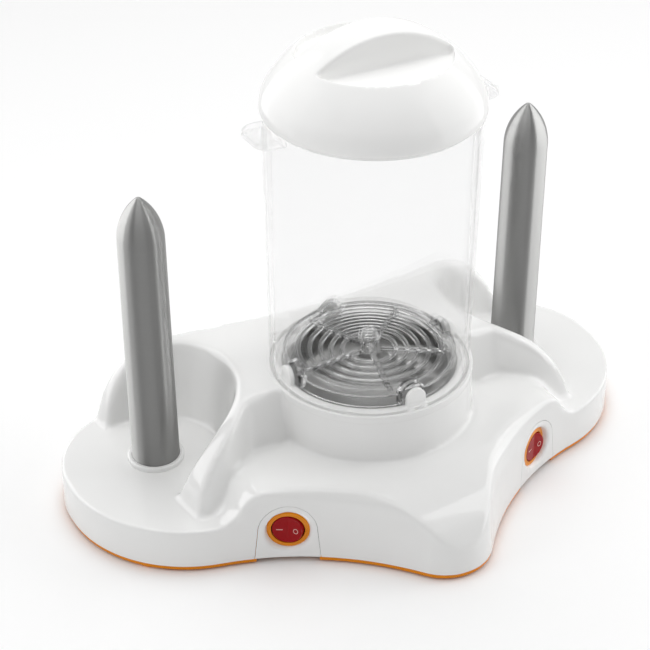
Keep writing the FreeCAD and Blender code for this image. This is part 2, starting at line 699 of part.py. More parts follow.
def jar_tabs():
    """Four round-topped tabs that stand on the collar inside the jar."""
    tabs = []
    for quarter in range(4):
        half = size("tab_width") / 2
        root = size("groove_depth")
        wall = size("tab_wall")
        inner = size("tab_radius") - wall / 2
        low = size("collar_level") - root
        middle = size("collar_level + tab_height") - half
        stem = Part.makeBox(2 * half, wall, middle - low, Vector(-half, inner, low))
        crown = Part.makeCylinder(half, wall, Vector(0, inner, middle), Vector(0, 1, 0))
        tab = stem.fuse(crown).removeSplitter()
        tab.rotate(Vector(0, 0, 0), Vector(0, 0, 1), 90 * quarter)
        tab.translate(jar_point(0, 0, 0))
        tabs.append(tab)
    return tabs


def base_plate():
    seam = size(SEAM)
    low = size("foot_level")
    inset = size("plate_inset")
    plate = Part.Face(outline(low, inset, inset)).extrude(Vector(0, 0, seam - low))
    lip_gap = size("housing_wall + fit_gap")
    lip_inner = lip_gap + size("plate_lip_wall")
    height = size("plate_lip")
    lean = size("front_draft") * height
    lip = Part.Face(outline(seam, lip_gap, lip_gap + lean)).extrude(Vector(0, 0, height))
    lip = lip.cut(Part.Face(outline(seam, lip_inner, lip_inner + lean)).extrude(Vector(0, 0, height)))
    depth = size("housing_wall + panel_depth")
    lip = lip.cut([panel_prism(side, size("panel_gap"), depth) for _, side in SIDES])
    plate = plate.fuse(lip)
    tools = [panel_prism(side, size("panel_gap"), size("housing_wall")) for _, side in SIDES]
    for x, y in screw_places():
        tools.append(Part.makeCylinder(size("screw_radius + fit_gap"), 2 * seam, jar_point(x, y, 0)))
        sink = size("screw_head + fit_gap")
        tools.append(Part.makeCylinder(size("screw_head_radius + fit_gap"), sink, jar_point(x, y, low)))
    tools += plate_vents(low)
    return feature("base_plate", plate.cut(tools).removeSplitter())


def plate_vents(low):
    """Slots under the boiler, in a row along X."""
    slots = []
    width = size("vent_width")
    length = size("pan_radius")
    for number in range(VENTS):
        middle = size("vent_pitch") * (number - (VENTS - 1) / 2)
        corner = jar_point(middle - width / 2, -length / 2 - width, low - PAST)
        slots.append(Part.makeBox(width, length, size("plate_thickness") + 2 * PAST, corner))
    return slots


def feet():
    """Five feet: four under the lobes and one under the nose."""
    places = [("nose", "0", "nose_y - nose_radius / 3")]
    for name, side in SIDES:
        sign = "-" if side < 0 else ""
        reach = "(front_lobe_radius - foot_edge) / sqrt(2)"
        middle = "spike_x + back_lobe_radius - front_lobe_radius"
        places.append((name + "_front", "%s(%s + %s)" % (sign, middle, reach), "front_lobe_y - " + reach))
        reach = "(back_lobe_radius - foot_edge) / sqrt(2)"
        places.append((name + "_back", "%s(spike_x + %s)" % (sign, reach), "spike_y + " + reach))
    result = []
    for name, x, y in places:
        at = (x, from_jar(y), "0")
        result.append(cone("foot_" + name, "foot_radius - foot_level / 2", "foot_radius", "foot_level", at))
    return result


# Boiler, tray, jar and lid


def boiler_pan():
    inner = "pan_radius - pan_wall"
    bottom = PAN_BOTTOM
    return revolved("boiler_pan", [
        ("0", bottom),
        ("pan_radius - pan_corner", bottom, "pan_corner", 1),
        ("pan_radius", bottom + " + pan_corner"),
        ("pan_radius", PAN_TOP),
        ("pan_flange", PAN_TOP),
        ("pan_flange", PAN_TOP + " + pan_wall"),
        (inner, PAN_TOP + " + pan_wall"),
        (inner, bottom + " + pan_corner", "pan_corner - pan_wall", -1),
        ("pan_radius - pan_corner", bottom + " + pan_wall"),
        ("0", bottom + " + pan_wall"),
    ], ("0", from_jar(), "0"))


def boiler_seal():
    at = ("0", from_jar(), "ledge_level")
    return tube("boiler_seal", "pan_flange", "pan_radius + fit_gap", "seal_height", at)


def element_spreader():
    at = ("0", from_jar(), SPREADER_BOTTOM)
    return cylinder("element_spreader", "spreader_radius", "spreader_thickness", at)


def boiler_element():
    """Ring with two cold ends that point down at its back."""
    ring = doc.addObject("Part::Torus", "element_ring")
    ring.setExpression("Radius1", bound("element_radius"))
    ring.setExpression("Radius2", bound("element_tube"))
    place(ring, ("0", from_jar(), SPREADER_BOTTOM + " - element_tube"))
    ends = []
    for name, sign in (("left", "-"), ("right", "")):
        at = (sign + "2 * element_tube", from_jar("element_radius"), SPREADER_BOTTOM + " - 5 * element_tube")
        ends.append(cylinder("element_end_" + name, "element_tube * 0.8", "4 * element_tube", at))
    return fused("boiler_element", [ring] + ends)


def element_clamp():
    """Bar under the element, with a hole at each end for its screw."""
    low = CLAMP_TOP + " - clamp_thickness"
    length = "2 * clamp_reach + 2 * boss_radius"
    bar = box("clamp_bar", length, "clamp_width", "clamp_thickness",
              ("-clamp_reach - boss_radius", from_jar("-clamp_width / 2"), low))
    holes = []
    for name, side in SIDES:
        sign = "-" if side < 0 else ""
        at = (sign + "clamp_reach", from_jar(), low)
        holes.append(cylinder("clamp_hole_" + name, "screw_radius + fit_gap", "clamp_thickness", at))
    return cut("element_clamp", bar, holes)


def thermostat():
    """Disc thermostat with its flange against the heat spreader."""
    middle = from_jar("thermostat_y")
    low = SPREADER_BOTTOM + " - thermostat_height"
    flange = cylinder("thermostat_flange", "thermostat_radius + thermostat_rim", "thermostat_rim",
                      ("0", middle, SPREADER_BOTTOM + " - thermostat_rim"))
    can = cylinder("thermostat_can", "thermostat_radius", "thermostat_height", ("0", middle, low))
    blades = []
    for name, sign in (("left", "-"), ("right", "")):
        at = (sign + "blade_pitch - blade_thickness / 2", from_jar("thermostat_y - blade_width / 2"),
              low + " - blade_length + blade_thickness")
        blades.append(box("thermostat_blade_" + name, "blade_thickness", "blade_width", "blade_length", at))
    return fused("thermostat", [flange, can] + blades)


def thermal_fuse():
    turn = Rotation(Vector(0, 1, 0), 90)
    at = ("-fuse_length / 2", from_jar("fuse_y"), SPREADER_BOTTOM + " - fuse_radius")
    return cylinder("thermal_fuse", "fuse_radius", "fuse_length", at, turn)


def sausage_tray():
    """Rim with a skirt, rings and spokes, and a hollow knob in the middle."""
    top = TRAY_TOP
    axis = from_jar()
    skirt_low = PAN_TOP + " + pan_wall + fit_gap"
    solids = [
        tube("tray_rim_plate", "tray_radius", "tray_rim", "tray_plate", ("0", axis, top + " - tray_plate")),
        tube("tray_skirt", "tray_radius", "tray_radius - tray_plate", top + " - (" + skirt_low + ")",
             ("0", axis, skirt_low)),
    ]
    for number in range(TRAY_RINGS):
        middle = "tray_inner_ring + %d * tray_ring_pitch" % number
        at = ("0", axis, top + " - tray_bar_height")
        solids.append(tube("tray_ring_%d" % (number + 1), middle + " + tray_bar / 2",
                           middle + " - tray_bar / 2", "tray_bar_height", at))
    for number in range(TRAY_SPOKES):
        angle = 360 / TRAY_SPOKES * number + FIRST_SPOKE
        start = size("hub_radius - hub_wall / 2")
        length = "tray_rim + tray_plate - hub_radius + hub_wall / 2"
        spoke = box("tray_spoke_%d" % (number + 1), length, "tray_spoke", "tray_bar_height", None)
        spoke.Placement = radial(angle, start, size("tray_spoke"), size(top + " - tray_bar_height"))
        knob = cylinder("tray_bump_%d" % (number + 1), "tray_spoke / 2", "tray_plate", None)
        knob.Placement = radial(angle, size("tray_rim + tray_spoke / 2"), 0, size(top + " - tray_plate / 3"))
        solids += [spoke, knob]
    hub = cylinder("tray_hub", "hub_radius", "hub_height + tray_bar_height",
                   ("0", axis, top + " - tray_bar_height"))
    dome = doc.addObject("Part::Fillet", "tray_hub_round")
    dome.Base = hub
    doc.recompute()
    round_size = size("hub_radius") * 0.2
    dome.Edges = [(top_edge(hub.Shape), round_size, round_size)]
    solids.append(dome)
    hollow = cylinder("tray_hub_hollow", "hub_radius - hub_wall", "hub_height + tray_bar_height - hub_wall",
                      ("0", axis, top + " - tray_bar_height"))
    along = Rotation(Vector(0, 0, 1), 90 + FIRST_SPOKE - 360 / TRAY_SPOKES)
    arch = cylinder("tray_hub_arch", "hub_radius / 3", "2 * hub_radius",
                    ("0", axis, top + " + hub_radius * 0.4"), along.multiply(Rotation(Vector(1, 0, 0), 90)))
    outer = "hood_radius + hood_wall"
    edge = size("tray_radius - tray_plate / 2")
    for quarter in range(4):
        name = "tray_hood_%d" % (quarter + 1)
        solids += arched(name, outer, quarter, size("hood_reach"), edge, skirt_low)
    tools = [hollow, arch]
    for quarter in range(4):
        name = "tray_pocket_%d" % (quarter + 1)
        start = size("hood_reach + hood_wall")
        tools += arched(name, "hood_radius", quarter, start, size("tray_radius") + PAST, skirt_low + " - %d" % PAST)
    return cut("sausage_tray", fused("tray_body", solids), tools)


def arched(name, radius, quarter, start, end, low):
    """Half cylinder and block of an arch about a tab's crown, between two reaches from the jar axis."""
    turn = Rotation(Vector(0, 0, 1), 90 * quarter)
    middle = "collar_level + tab_height - tab_width / 2"
    crown = cylinder(name + "_crown", radius, "tray_plate", None)
    crown.Height = end - start
    crown.Angle = 180
    upright = turn.multiply(Rotation(Vector(1, 0, 0), -90)).multiply(Rotation(Vector(0, 0, 1), 180))
    crown.Placement = Placement(turn.multVec(Vector(0, start, 0)) + jar_point(0, 0, size(middle)), upright)
    stem = box(name + "_stem", "2 * (" + radius + ")", "tray_plate", middle + " - (" + low + ")", None)
    stem.Width = end - start
    stem.Placement = Placement(turn.multVec(Vector(-size(radius), start, 0)) + jar_point(0, 0, size(low)), turn)
    return [crown, stem]


def top_edge(shape):
    """Number of the highest closed edge."""
    numbered = enumerate(shape.Edges, start=1)
    closed = [(edge.CenterOfMass.z, number) for number, edge in numbered if edge.Closed]
    return max(closed)[1]


def radial(angle, reach, width, level):
    """Placement for a bar that runs outwards from the jar axis, centred on its own width."""
    turn = Rotation(Vector(0, 0, 1), angle)
    return Placement(turn.multVec(Vector(reach, -width / 2, 0)) + jar_point(0, 0, level), turn)


def steam_jar():
    low = "collar_level - groove_depth + fit_gap"
    height = "jar_level - (" + low + ")"
    at = ("0", from_jar(), low)
    wall = cone("jar_outside", "jar_radius", "jar_top_radius", height, at)
    inside = cone("jar_inside", "jar_radius - jar_wall", "jar_top_radius - jar_wall", height, at)
    solids = [wall]
    for name, side in SIDES:
        corner = "jar_top_radius - jar_wall" if side > 0 else "-jar_top_radius - ear_length"
        ear = box("ear_block_" + name, "ear_length + jar_wall", "ear_width", "ear_thickness",
                  (corner, from_jar("-ear_width / 2"), "jar_level - ear_thickness"))
        solids.append(rounded_ear(ear, name, side))
    return cut("steam_jar", fused("jar_body", solids), [inside])


def rounded_ear(ear, name, side):
    """Rounds the two outer upright edges of an ear."""
    doc.recompute()
    outer = max(side * edge.CenterOfMass.x for edge in ear.Shape.Edges)
    edges = []
    for number, edge in enumerate(ear.Shape.Edges, start=1):
        upright = abs(edge.tangentAt(edge.FirstParameter).z) > 0.9
        if upright and side * edge.CenterOfMass.x > outer - 0.01:
            edges.append((number, size("ear_round"), size("ear_round")))
    rounded = doc.addObject("Part::Fillet", "jar_ear_" + name)
    rounded.Base = ear
    rounded.Edges = edges
    return rounded


def crown_radius(inset):
    """Radius of the lid's crown, whose arc meets the round above the rim without a corner."""
    corner = "(lid_corner - %s)" % inset
    across = "(" + LID_RADIUS + " - lid_corner)"
    drop = "(lid_widest - lid_rise + %s)" % inset
    return "((%s ^ 2 - %s ^ 2 - %s ^ 2) / (2 * (%s + %s)))" % (corner, across, drop, drop, corner)


def dome_profile(name, inset, low):
    """Solid dome of the lid, inset from its outer face, from a level below the jar's edge up."""
    crown = crown_radius(inset)
    corner = "(lid_corner - %s)" % inset
    across = "(" + LID_RADIUS + " - lid_corner)"
    centre = "(lid_rise - %s - %s)" % (inset, crown)
    share = "(%s / (%s - %s))" % (crown, crown, corner)
    meet_r = "(%s * %s)" % (across, share)
    meet_z = "(%s + %s + (lid_widest - %s) * %s)" % (LID_FOOT, centre, centre, share)
    rim = "(%s + sqrt(%s ^ 2 - lid_widest ^ 2))" % (across, corner)
    return revolved(name, [
        ("0", low),
        (rim, low),
        (rim, LID_FOOT, corner, 1),
        (meet_r, meet_z, crown, 1),
        ("0", LID_FOOT + " + lid_rise - " + inset),
    ], ("0", from_jar(), "0"))


def lid_scoops(name, radius, floor, bridge):
    """Round recess over the crown, less the bridge that stays as the handle."""
    round_tool = cylinder(name + "_round", radius, "lid_rise", ("0", from_jar(), floor))
    block = box(name + "_bridge", "2 * " + LID_RADIUS, bridge, "lid_rise",
                ("-" + LID_RADIUS, from_jar("-(" + bridge + ") / 2"), floor))
    return cut(name, round_tool, [block])


def lid():
    """Dome with two finger scoops, hollow underneath, and a lip inside the jar."""
    floor = LID_FOOT + " + lid_rise - scoop_depth"
    outside = dome_profile("lid_outside", "0", LID_FOOT + " - 0.01")
    cap = cut("lid_cap", outside, [lid_scoops("lid_scoop", SCOOP_RADIUS, floor, "bridge_width")])
    inside = dome_profile("lid_inside", "lid_wall", "jar_level - lid_lip")
    relief = lid_scoops("lid_relief", SCOOP_RADIUS + " + lid_wall", floor + " - lid_wall",
                        "bridge_width - 2 * lid_wall")
    hollow = cut("lid_hollow", inside, [relief])
    inner = "jar_top_radius - 2 * jar_wall - fit_gap"
    ring = tube("lid_lip_ring", "jar_top_radius - jar_wall - fit_gap", inner, "lid_lip + fit_gap + lid_wall",
                ("0", from_jar(), "jar_level - lid_lip"))
    seat = tube("lid_seat", "jar_top_radius", inner, "lid_wall", ("0", from_jar(), LID_FOOT))
    shell = cut("lid_shell", cap, [hollow])
    return fused("lid", [shell, ring, seat])


# Spikes


def at_spike(side, level):
    sign = "-" if side < 0 else ""
    return (sign + "spike_x", from_jar("spike_y"), level)


def spike(name, side):
    """Closed steel tube with an ogive tip, and a flange under the lobe."""
    top = "(lobe_level + spike_length)"
    shoulder = "(" + top + " - spike_tip)"

    def tip(inset):
        radius = "(spike_top_radius - %s)" % inset
        point = "(spike_tip_round - %s)" % inset
        height = "(spike_tip - spike_tip_round)"
        ogive = "((%s ^ 2 + %s ^ 2 - %s ^ 2) / (2 * (%s - %s)))" % (radius, height, point, radius, point)
        share = "(%s / (%s - %s))" % (ogive, ogive, point)
        meet_r = "(%s - %s + (%s - %s) * %s)" % (radius, ogive, ogive, radius, share)
        meet_z = "(%s + %s * %s)" % (shoulder, height, share)
        return ogive, point, meet_r, meet_z

    outer = tip("0")
    inner = tip("spike_wall")
    flange = CEILING + " - spike_wall"
    return revolved(name, [
        ("spike_radius - spike_wall", flange),
        ("spike_foot", flange),
        ("spike_foot", CEILING),
        ("spike_radius", CEILING),
        ("spike_radius", "lobe_level"),
        ("spike_top_radius", shoulder, outer[0], 1),
        (outer[2], outer[3], outer[1], 1),
        ("0", top),
        ("0", top + " - spike_wall", inner[1], -1),
        (inner[2], inner[3], inner[0], -1),
        ("spike_top_radius - spike_wall", shoulder),
        ("spike_radius - spike_wall", "lobe_level"),
    ], at_spike(side, "0"))


def spike_ring(name, side):
    """White ring on the lobe, with a rounded upper edge."""
    inner = "spike_radius + spike_gap"
    outer = inner + " + ring_width"
    return revolved(name, [
        (inner, "lobe_level"),
        (outer, "lobe_level"),
        (outer, "lobe_level + ring_height - ring_width / 2", "ring_width / 2", 1),
        (outer + " - ring_width / 2", "lobe_level + ring_height"),
        (inner, "lobe_level + ring_height"),
    ], at_spike(side, "0"))


def spike_heater(name, side):
    low = HOLDER_TOP + " - holder_height - heater_radius / 4"
    rod = cylinder(name + "_rod", "heater_radius", "heater_length", at_spike(side, low))
    pins = []
    for number, sign in enumerate(("-", "+")):
        at = list(at_spike(side, low + " - heater_radius / 2"))
        at[0] = "%s %s heater_radius / 3" % (at[0], sign)
        pins.append(cylinder(name + "_pin_%d" % number, "heater_radius / 8", "heater_radius", at))
    return fused(name, [rod] + pins)


def spike_holder(name, side):
    """Socket that clamps the spike's flange and holds the heater."""
    low = HOLDER_TOP + " - holder_height"
    disc = cylinder(name + "_disc", "spike_foot", "holder_height", at_spike(side, low))
    at = list(at_spike(side, low))
    at[0] = at[0] + " - boss_radius"
    at[1] = from_jar("spike_y - holder_reach - boss_radius")
    bar = box(name + "_bar", "2 * boss_radius", "2 * holder_reach + 2 * boss_radius", "holder_bar", at)
    holes = [cylinder(name + "_bore", "heater_radius + screw_gap", "2 * holder_height", at_spike(side, low))]
    for number, sign in enumerate(("-", "+")):
        place_y = from_jar("spike_y %s holder_reach" % sign)
        at = (at_spike(side, low)[0], place_y, low)
        holes.append(cylinder(name + "_hole_%d" % number, "screw_radius + screw_gap", "2 * holder_bar", at))
    return cut(name, fused(name + "_body", [disc, bar]), holes)


# Switches


def switch_panel(name, side):
    """Arched piece of the housing's wall, down to the plate's underside, with a raised ring."""
    low = size("foot_level")
    wall = lower_form(low, 0).cut(lower_form(low - 1, size("housing_wall")))
    wall = wall.common(panel_prism(side, 0, size("housing_wall + panel_depth")))
    ring = switch_cylinder(side, size("panel_ring"), -size("panel_proud"), size("panel_depth"))
    seat = size("bezel_thickness - bezel_front")
    reach = size("panel_width")
    tools = [
        switch_cylinder(side, size("bezel_radius + screw_gap"), -reach, seat),
        switch_cylinder(side, size("switch_body_radius + screw_gap"), -reach, reach),
    ]
    return feature(name, wall.fuse(ring).cut(tools).removeSplitter())


def turned(solid, side):
    """Puts a piece that is modelled about the switch's axis along +Y in its place."""
    solid.Placement = switch_placement(side)
    return solid


def along_switch(name, radius, front, depth):
    """Cylinder along the switch's axis, from a depth behind its reference plane."""
    return cylinder(name, radius, depth, ("0", front, "0"), Rotation(Vector(1, 0, 0), -90))


def switch_bezel(name, side):
    """Ring whose front outer edge is chamfered."""
    hole = "rocker_radius + rocker_gap"
    flange = along_switch(name + "_flange", "bezel_radius", "-bezel_front", "bezel_thickness")
    doc.recompute()
    soft = doc.addObject("Part::Chamfer", name + "_soft")
    soft.Base = flange
    edges = []
    for number, edge in enumerate(flange.Shape.Edges, start=1):
        if edge.Closed and edge.CenterOfMass.y < 0:
            edges.append((number, size("bezel_thickness") / 3, size("bezel_thickness") / 2))
    soft.Edges = edges
    opening = along_switch(name + "_opening", hole, "-bezel_front", "bezel_thickness")
    return turned(cut(name, soft, [opening]), side)


def switch_body(name, side):
    """Case with the rocker's space, its pivot holes and two terminals."""
    front = "bezel_thickness - bezel_front"
    case = along_switch(name + "_case", "switch_body_radius", front, "switch_body_depth")
    blades = []
    for number, sign in enumerate(("-", "")):
        at = (sign + "blade_pitch - blade_thickness / 2", front + " + switch_body_depth", "-blade_width / 2")
        blades.append(box(name + "_blade_%d" % number, "blade_thickness", "blade_length", "blade_width", at))
    space = along_switch(name + "_space", "rocker_radius + rocker_gap", front, "switch_cavity")
    pivots = cylinder(name + "_pivots", "pivot_radius + pivot_gap", "2 * pivot_reach + 2 * rocker_gap",
                      ("0", PIVOT, "-pivot_reach - rocker_gap"))
    return turned(cut(name, fused(name + "_filled", [case] + blades), [space, pivots]), side)


def rocker(name, side):
    """Ball cut by two flat faces that meet in a shallow V, with its first side pressed in."""
    ball = doc.addObject("Part::Sphere", name + "_ball")
    ball.setExpression("Radius", bound("rocker_radius"))
    place(ball, ("0", PIVOT, "0"))
    wide = "2 * rocker_radius"
    pressed = box(name + "_pressed", wide, wide, wide,
                  ("-" + wide, "-bezel_front - " + wide, "-rocker_radius"))
    raised = box(name + "_raised", wide, wide, wide, None)
    slope = Rotation(Vector(0, 0, 1), -size("rocker_travel"))
    start = Vector(0, -size("bezel_front"), -size("rocker_radius"))
    raised.Placement = Placement(slope.multVec(Vector(0, -size(wide), 0)) + start, slope)
    back = box(name + "_back", "2 * " + wide, wide, wide,
               ("-" + wide, PIVOT + " + rocker_back", "-rocker_radius"))
    pins = cylinder(name + "_pins", "pivot_radius", "2 * pivot_reach", ("0", PIVOT, "-pivot_reach"))
    body = cut(name + "_cap", ball, [pressed, raised, back])
    return turned(fused(name, [body, pins]), side)


# Screws, cord and wiring


def screw(name, at, reach):
    """Screw from below: a head, and a shank that points up from it."""
    head_at = (at[0], at[1], at[2] + " - screw_head")
    head = cylinder(name + "_head", "screw_head_radius", "screw_head", head_at)
    shank = cylinder(name + "_shank", "screw_radius", reach, at)
    return fused(name, [head, shank])


def housing_screws():
    result = []
    for number, (x, y) in enumerate(screw_places(), start=1):
        at = ("%.4f" % x, "%.4f" % (y + size(JAR_Y)), "foot_level + screw_head + fit_gap")
        result.append(screw("housing_screw_%d" % number, at, "screw_reach"))
    return result


def holder_screws(name, side):
    result = []
    for word, sign in (("front", "-"), ("back", "+")):
        place_x = at_spike(side, "0")[0]
        at = (place_x, from_jar("spike_y %s holder_reach" % sign), HOLDER_TOP + " - holder_height")
        result.append(screw("%s_holder_screw_%s" % (name, word), at, "holder_height"))
    return result


def clamp_screw(name, side):
    sign = "-" if side < 0 else ""
    at = (sign + "clamp_reach", from_jar(), CLAMP_TOP + " - clamp_thickness")
    return screw(name, at, "clamp_screw_reach")


def cord_gland():
    """Bushing for the mains cord. It fills its slot in the back wall down to the base plate."""
    low = SEAM + " + screw_gap"
    start = from_jar(GLAND_SEAT + " - gland_length")
    rise = "gland_level - (" + low + ")"
    flange = box("gland_rim", "2 * gland_flange", "gland_flange_depth", rise + " + gland_flange",
                 ("-gland_flange", from_jar(GLAND_SEAT), low))
    depth = "(housing_wall - gland_sunk - fit_gap)"
    neck = box("gland_neck", "2 * gland_half", depth, rise + " + gland_half",
               ("-gland_half", from_jar(GLAND_SEAT + " - " + depth), low))
    turn = Rotation(Vector(1, 0, 0), -90)
    sleeve = cylinder("gland_sleeve", "gland_half", "gland_length", ("0", start, "gland_level"), turn)
    bore = cylinder("gland_bore", "cord_radius", "gland_length + gland_flange_depth",
                    ("0", start, "gland_level"), turn)
    return cut("cord_gland", fused("gland_body", [flange, neck, sleeve]), [bore])


def cord_clamp():
    """Block on the base plate that grips the cord."""
    height = "gland_level + 2 * cord_radius - " + SEAM
    front = from_jar(GLAND_SEAT + " - gland_length - fit_gap - cord_clamp_depth")
    block = box("cord_clamp_block", "cord_clamp_width", "cord_clamp_depth", height,
                ("-cord_clamp_width / 2", front, SEAM))
    channel = cylinder("cord_clamp_channel", "cord_radius - 2 * fit_gap", "cord_clamp_depth",
                       ("0", front, "gland_level"), Rotation(Vector(1, 0, 0), -90))
    return cut("cord_clamp", block, [channel])


def terminal_block():
    """Three-way screw terminal."""
    block = box("terminal_case", "terminal_length", "terminal_depth", "terminal_height",
                ("-terminal_length / 2", from_jar("terminal_y"), SEAM))
    wells = []
    for number in (-1, 0, 1):
        at = ("%d * terminal_length / 3" % number, from_jar("terminal_y + terminal_depth / 2"),
              SEAM + " + terminal_height / 2")
        wells.append(cylinder("terminal_well_%d" % (number + 2), "screw_radius", "terminal_height", at))
    return cut("terminal_block", block, wells)


def build():
    pieces = [upper_housing(), base_plate()]
    pieces += feet()
    pieces += [boiler_pan(), boiler_seal(), element_spreader(), boiler_element(), element_clamp()]
    pieces += [thermostat(), thermal_fuse(), sausage_tray(), steam_jar(), lid()]
    for name, side in SIDES:
        pieces.append(spike(name + "_spike", side))
        pieces.append(spike_ring(name + "_spike_ring", side))
        pieces.append(spike_heater(name + "_spike_heater", side))
        pieces.append(spike_holder(name + "_spike_holder", side))
        pieces += holder_screws(name, side)
        pieces.append(clamp_screw(name + "_clamp_screw", side))
        pieces.append(switch_panel(name + "_switch_panel", side))
        pieces.append(switch_bezel(name + "_switch_bezel", side))
        pieces.append(switch_body(name + "_switch_body", side))
        pieces.append(rocker(name + "_rocker", side))
    pieces += [cord_gland(), cord_clamp(), terminal_block()]
    pieces += housing_screws()
    return pieces


def check(pieces):
    doc.recompute()
    failed = [item.Name for item in doc.Objects if "Invalid" in item.State or "Error" in item.State]
    for piece in pieces:
        piece.Label = piece.Name
        if piece.Shape.isNull() or not piece.Shape.isValid():
            failed.append(piece.Name)
    if failed:
        raise RuntimeError("failed objects: " + ", ".join(failed))


def export(pieces):
    os.makedirs("parts", exist_ok=True)
    for piece in pieces:
        piece.Shape.exportStep("parts/%s.step" % piece.Label)
        print("%-26s %2d solids %10.1f mm3" % (piece.Label, len(piece.Shape.Solids), piece.Shape.Volume))


def main():
    pieces = build()
    check(pieces)
    export(pieces)


main()
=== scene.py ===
"""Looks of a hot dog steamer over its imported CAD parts: camera, light, finishes and softened forms."""

import json
import math

import bmesh
import bpy
from mathutils import Matrix, Vector


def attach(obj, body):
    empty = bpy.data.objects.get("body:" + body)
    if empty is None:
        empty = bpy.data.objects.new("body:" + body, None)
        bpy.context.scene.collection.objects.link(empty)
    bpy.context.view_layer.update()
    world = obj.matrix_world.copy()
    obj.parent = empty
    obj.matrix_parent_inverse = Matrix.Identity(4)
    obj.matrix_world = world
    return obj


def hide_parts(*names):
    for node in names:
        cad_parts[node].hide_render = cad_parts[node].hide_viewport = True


MM = 0.001
SIDES = (("left", -1), ("right", 1))

# Places of the jar's axis and of the spikes, in millimetres as all sizes below.
JAR_Y = 13.4
SPIKE_X = 119.3
SPIKE_Y = 45.3

# The collar, its groove for the jar, and the four tabs in it.
COLLAR_TOP = 76.05
COLLAR_CUT = 71.7
GROOVE_FLOOR = 72.2
TAB_CROWN = 80.55
TAB_HALF = 5.75

# The jar: its lower and upper rim, its wall, and the reach of its ears.
JAR_LOW = 72.3
JAR_HIGH = 230.0
JAR_WALL = 2.0
EAR_SIZE = (14.9, 29.0, 3.0)
EAR_REACH = 71.5
EAR_START = 58.3

# The tray: its levels and radii, the first ring's middle and the step from ring to ring.
TRAY_TOP = 83.5
TRAY_SKIRT = 75.9
TRAY_OUTER = 48.5
SKIRT_INNER = 46.7
RIM_INNER = 41.5
RIM_PLATE = 1.8
HOOD_HALF = 7.8
HOOD_HOLLOW = 6.6
RING_START = 15.0
RING_STEP = 6.2
RING_HALF = 1.3
RING_HEIGHT = 2.4
RINGS = 5
SPOKES = 5
SPOKE_START = -32
FLUTES = 14

# The switches: centre of the right one's bezel, and how far each faces outwards, in degrees.
SWITCH = (78.9, -39.9, 21.0)
SWITCH_TURN = 29.5
ROCKER_SLOPE = 18
WALL_LEAN = 7.4

# The housing: its lower rim here and in the solids, where the guard walls' crests begin, and how
# far they lie from the jar and from their spike.
HOUSING_RIM = 4.1
SOLID_RIM = 4.6
CREST_LEVEL = 27.6
CREST_FROM_JAR = 64
CREST_NEAR = 36
CREST_FAR = 72

# Triangles that the softened shells may have.
HOUSING_FACES = 185000
LID_FACES = 150000

# The camera: place in metres, turns in degrees, lens, and its direction round the object.
CAMERA_PLACE = (-0.38377, -0.66266, 0.60022)
CAMERA_TURNS = (57.103, 0.081, -27.8)
CAMERA_LENS = 92.18
FRONT = -120.1

# The level of the light from the studio's walls.
STUDIO_LEVEL = 0.7

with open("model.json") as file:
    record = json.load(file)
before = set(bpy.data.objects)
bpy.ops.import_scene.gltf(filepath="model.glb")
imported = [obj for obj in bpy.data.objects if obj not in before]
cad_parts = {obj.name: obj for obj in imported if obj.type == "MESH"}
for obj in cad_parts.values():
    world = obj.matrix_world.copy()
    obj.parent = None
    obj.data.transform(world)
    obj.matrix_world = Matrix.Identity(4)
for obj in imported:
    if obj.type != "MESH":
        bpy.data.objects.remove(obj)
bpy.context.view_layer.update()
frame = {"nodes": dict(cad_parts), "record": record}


# Camera, light and floor


def hex_colour(code):
    """Linear colour from sRGB hex."""
    parts = [int(code[i:i + 2], 16) / 255 for i in (1, 3, 5)]
    return [v / 12.92 if v <= 0.04045 else ((v + 0.055) / 1.055) ** 2.4 for v in parts] + [1.0]


def add_node(tree, kind, settings=None, links=None):
    """Adds a shader node. Settings are its properties or socket values, links are its inputs."""
    made = tree.nodes.new("ShaderNode" + kind)
    for name, value in (settings or {}).items():
        if isinstance(name, str) and hasattr(made, name):
            setattr(made, name, value)
        else:
            made.inputs[name].default_value = value
    for name, source in (links or {}).items():
        tree.links.new(source, made.inputs[name])
    return made


def set_camera():
    """The photo's camera, fitted to the object's edges."""
    data = bpy.data.cameras.new("photo_camera")
    data.sensor_width = 36
    data.lens = CAMERA_LENS
    data.clip_start = 0.01
    data.clip_end = 20
    camera = bpy.data.objects.new("photo_camera", data)
    camera.location = CAMERA_PLACE
    camera.rotation_euler = [math.radians(degrees) for degrees in CAMERA_TURNS]
    bpy.context.scene.collection.objects.link(camera)
    bpy.context.scene.camera = camera


def set_world():
    """Plain white studio. What the camera sees, directly, in a reflection or through clear
    plastic, is full white, and the light that it gives is a little lower."""
    world = bpy.data.worlds.new("studio")
    bpy.context.scene.world = world
    world.use_nodes = True
    tree = world.node_tree
    tree.nodes.clear()
    path = add_node(tree, "LightPath")
    seen = add_node(tree, "Math", {"operation": "MAXIMUM"},
                    {0: path.outputs["Is Camera Ray"], 1: path.outputs["Is Transmission Ray"]})
    seen = add_node(tree, "Math", {"operation": "MAXIMUM"},
                    {0: seen.outputs[0], 1: path.outputs["Is Glossy Ray"]})
    studio = add_node(tree, "Background", {"Color": hex_colour("#FFFFFF"), "Strength": STUDIO_LEVEL})
    plain = add_node(tree, "Background", {"Color": hex_colour("#FFFFFF"), "Strength": 1.0})
    both = add_node(tree, "MixShader", {}, {0: seen.outputs[0], 1: studio.outputs[0], 2: plain.outputs[0]})
    add_node(tree, "OutputWorld", {}, {"Surface": both.outputs[0]})


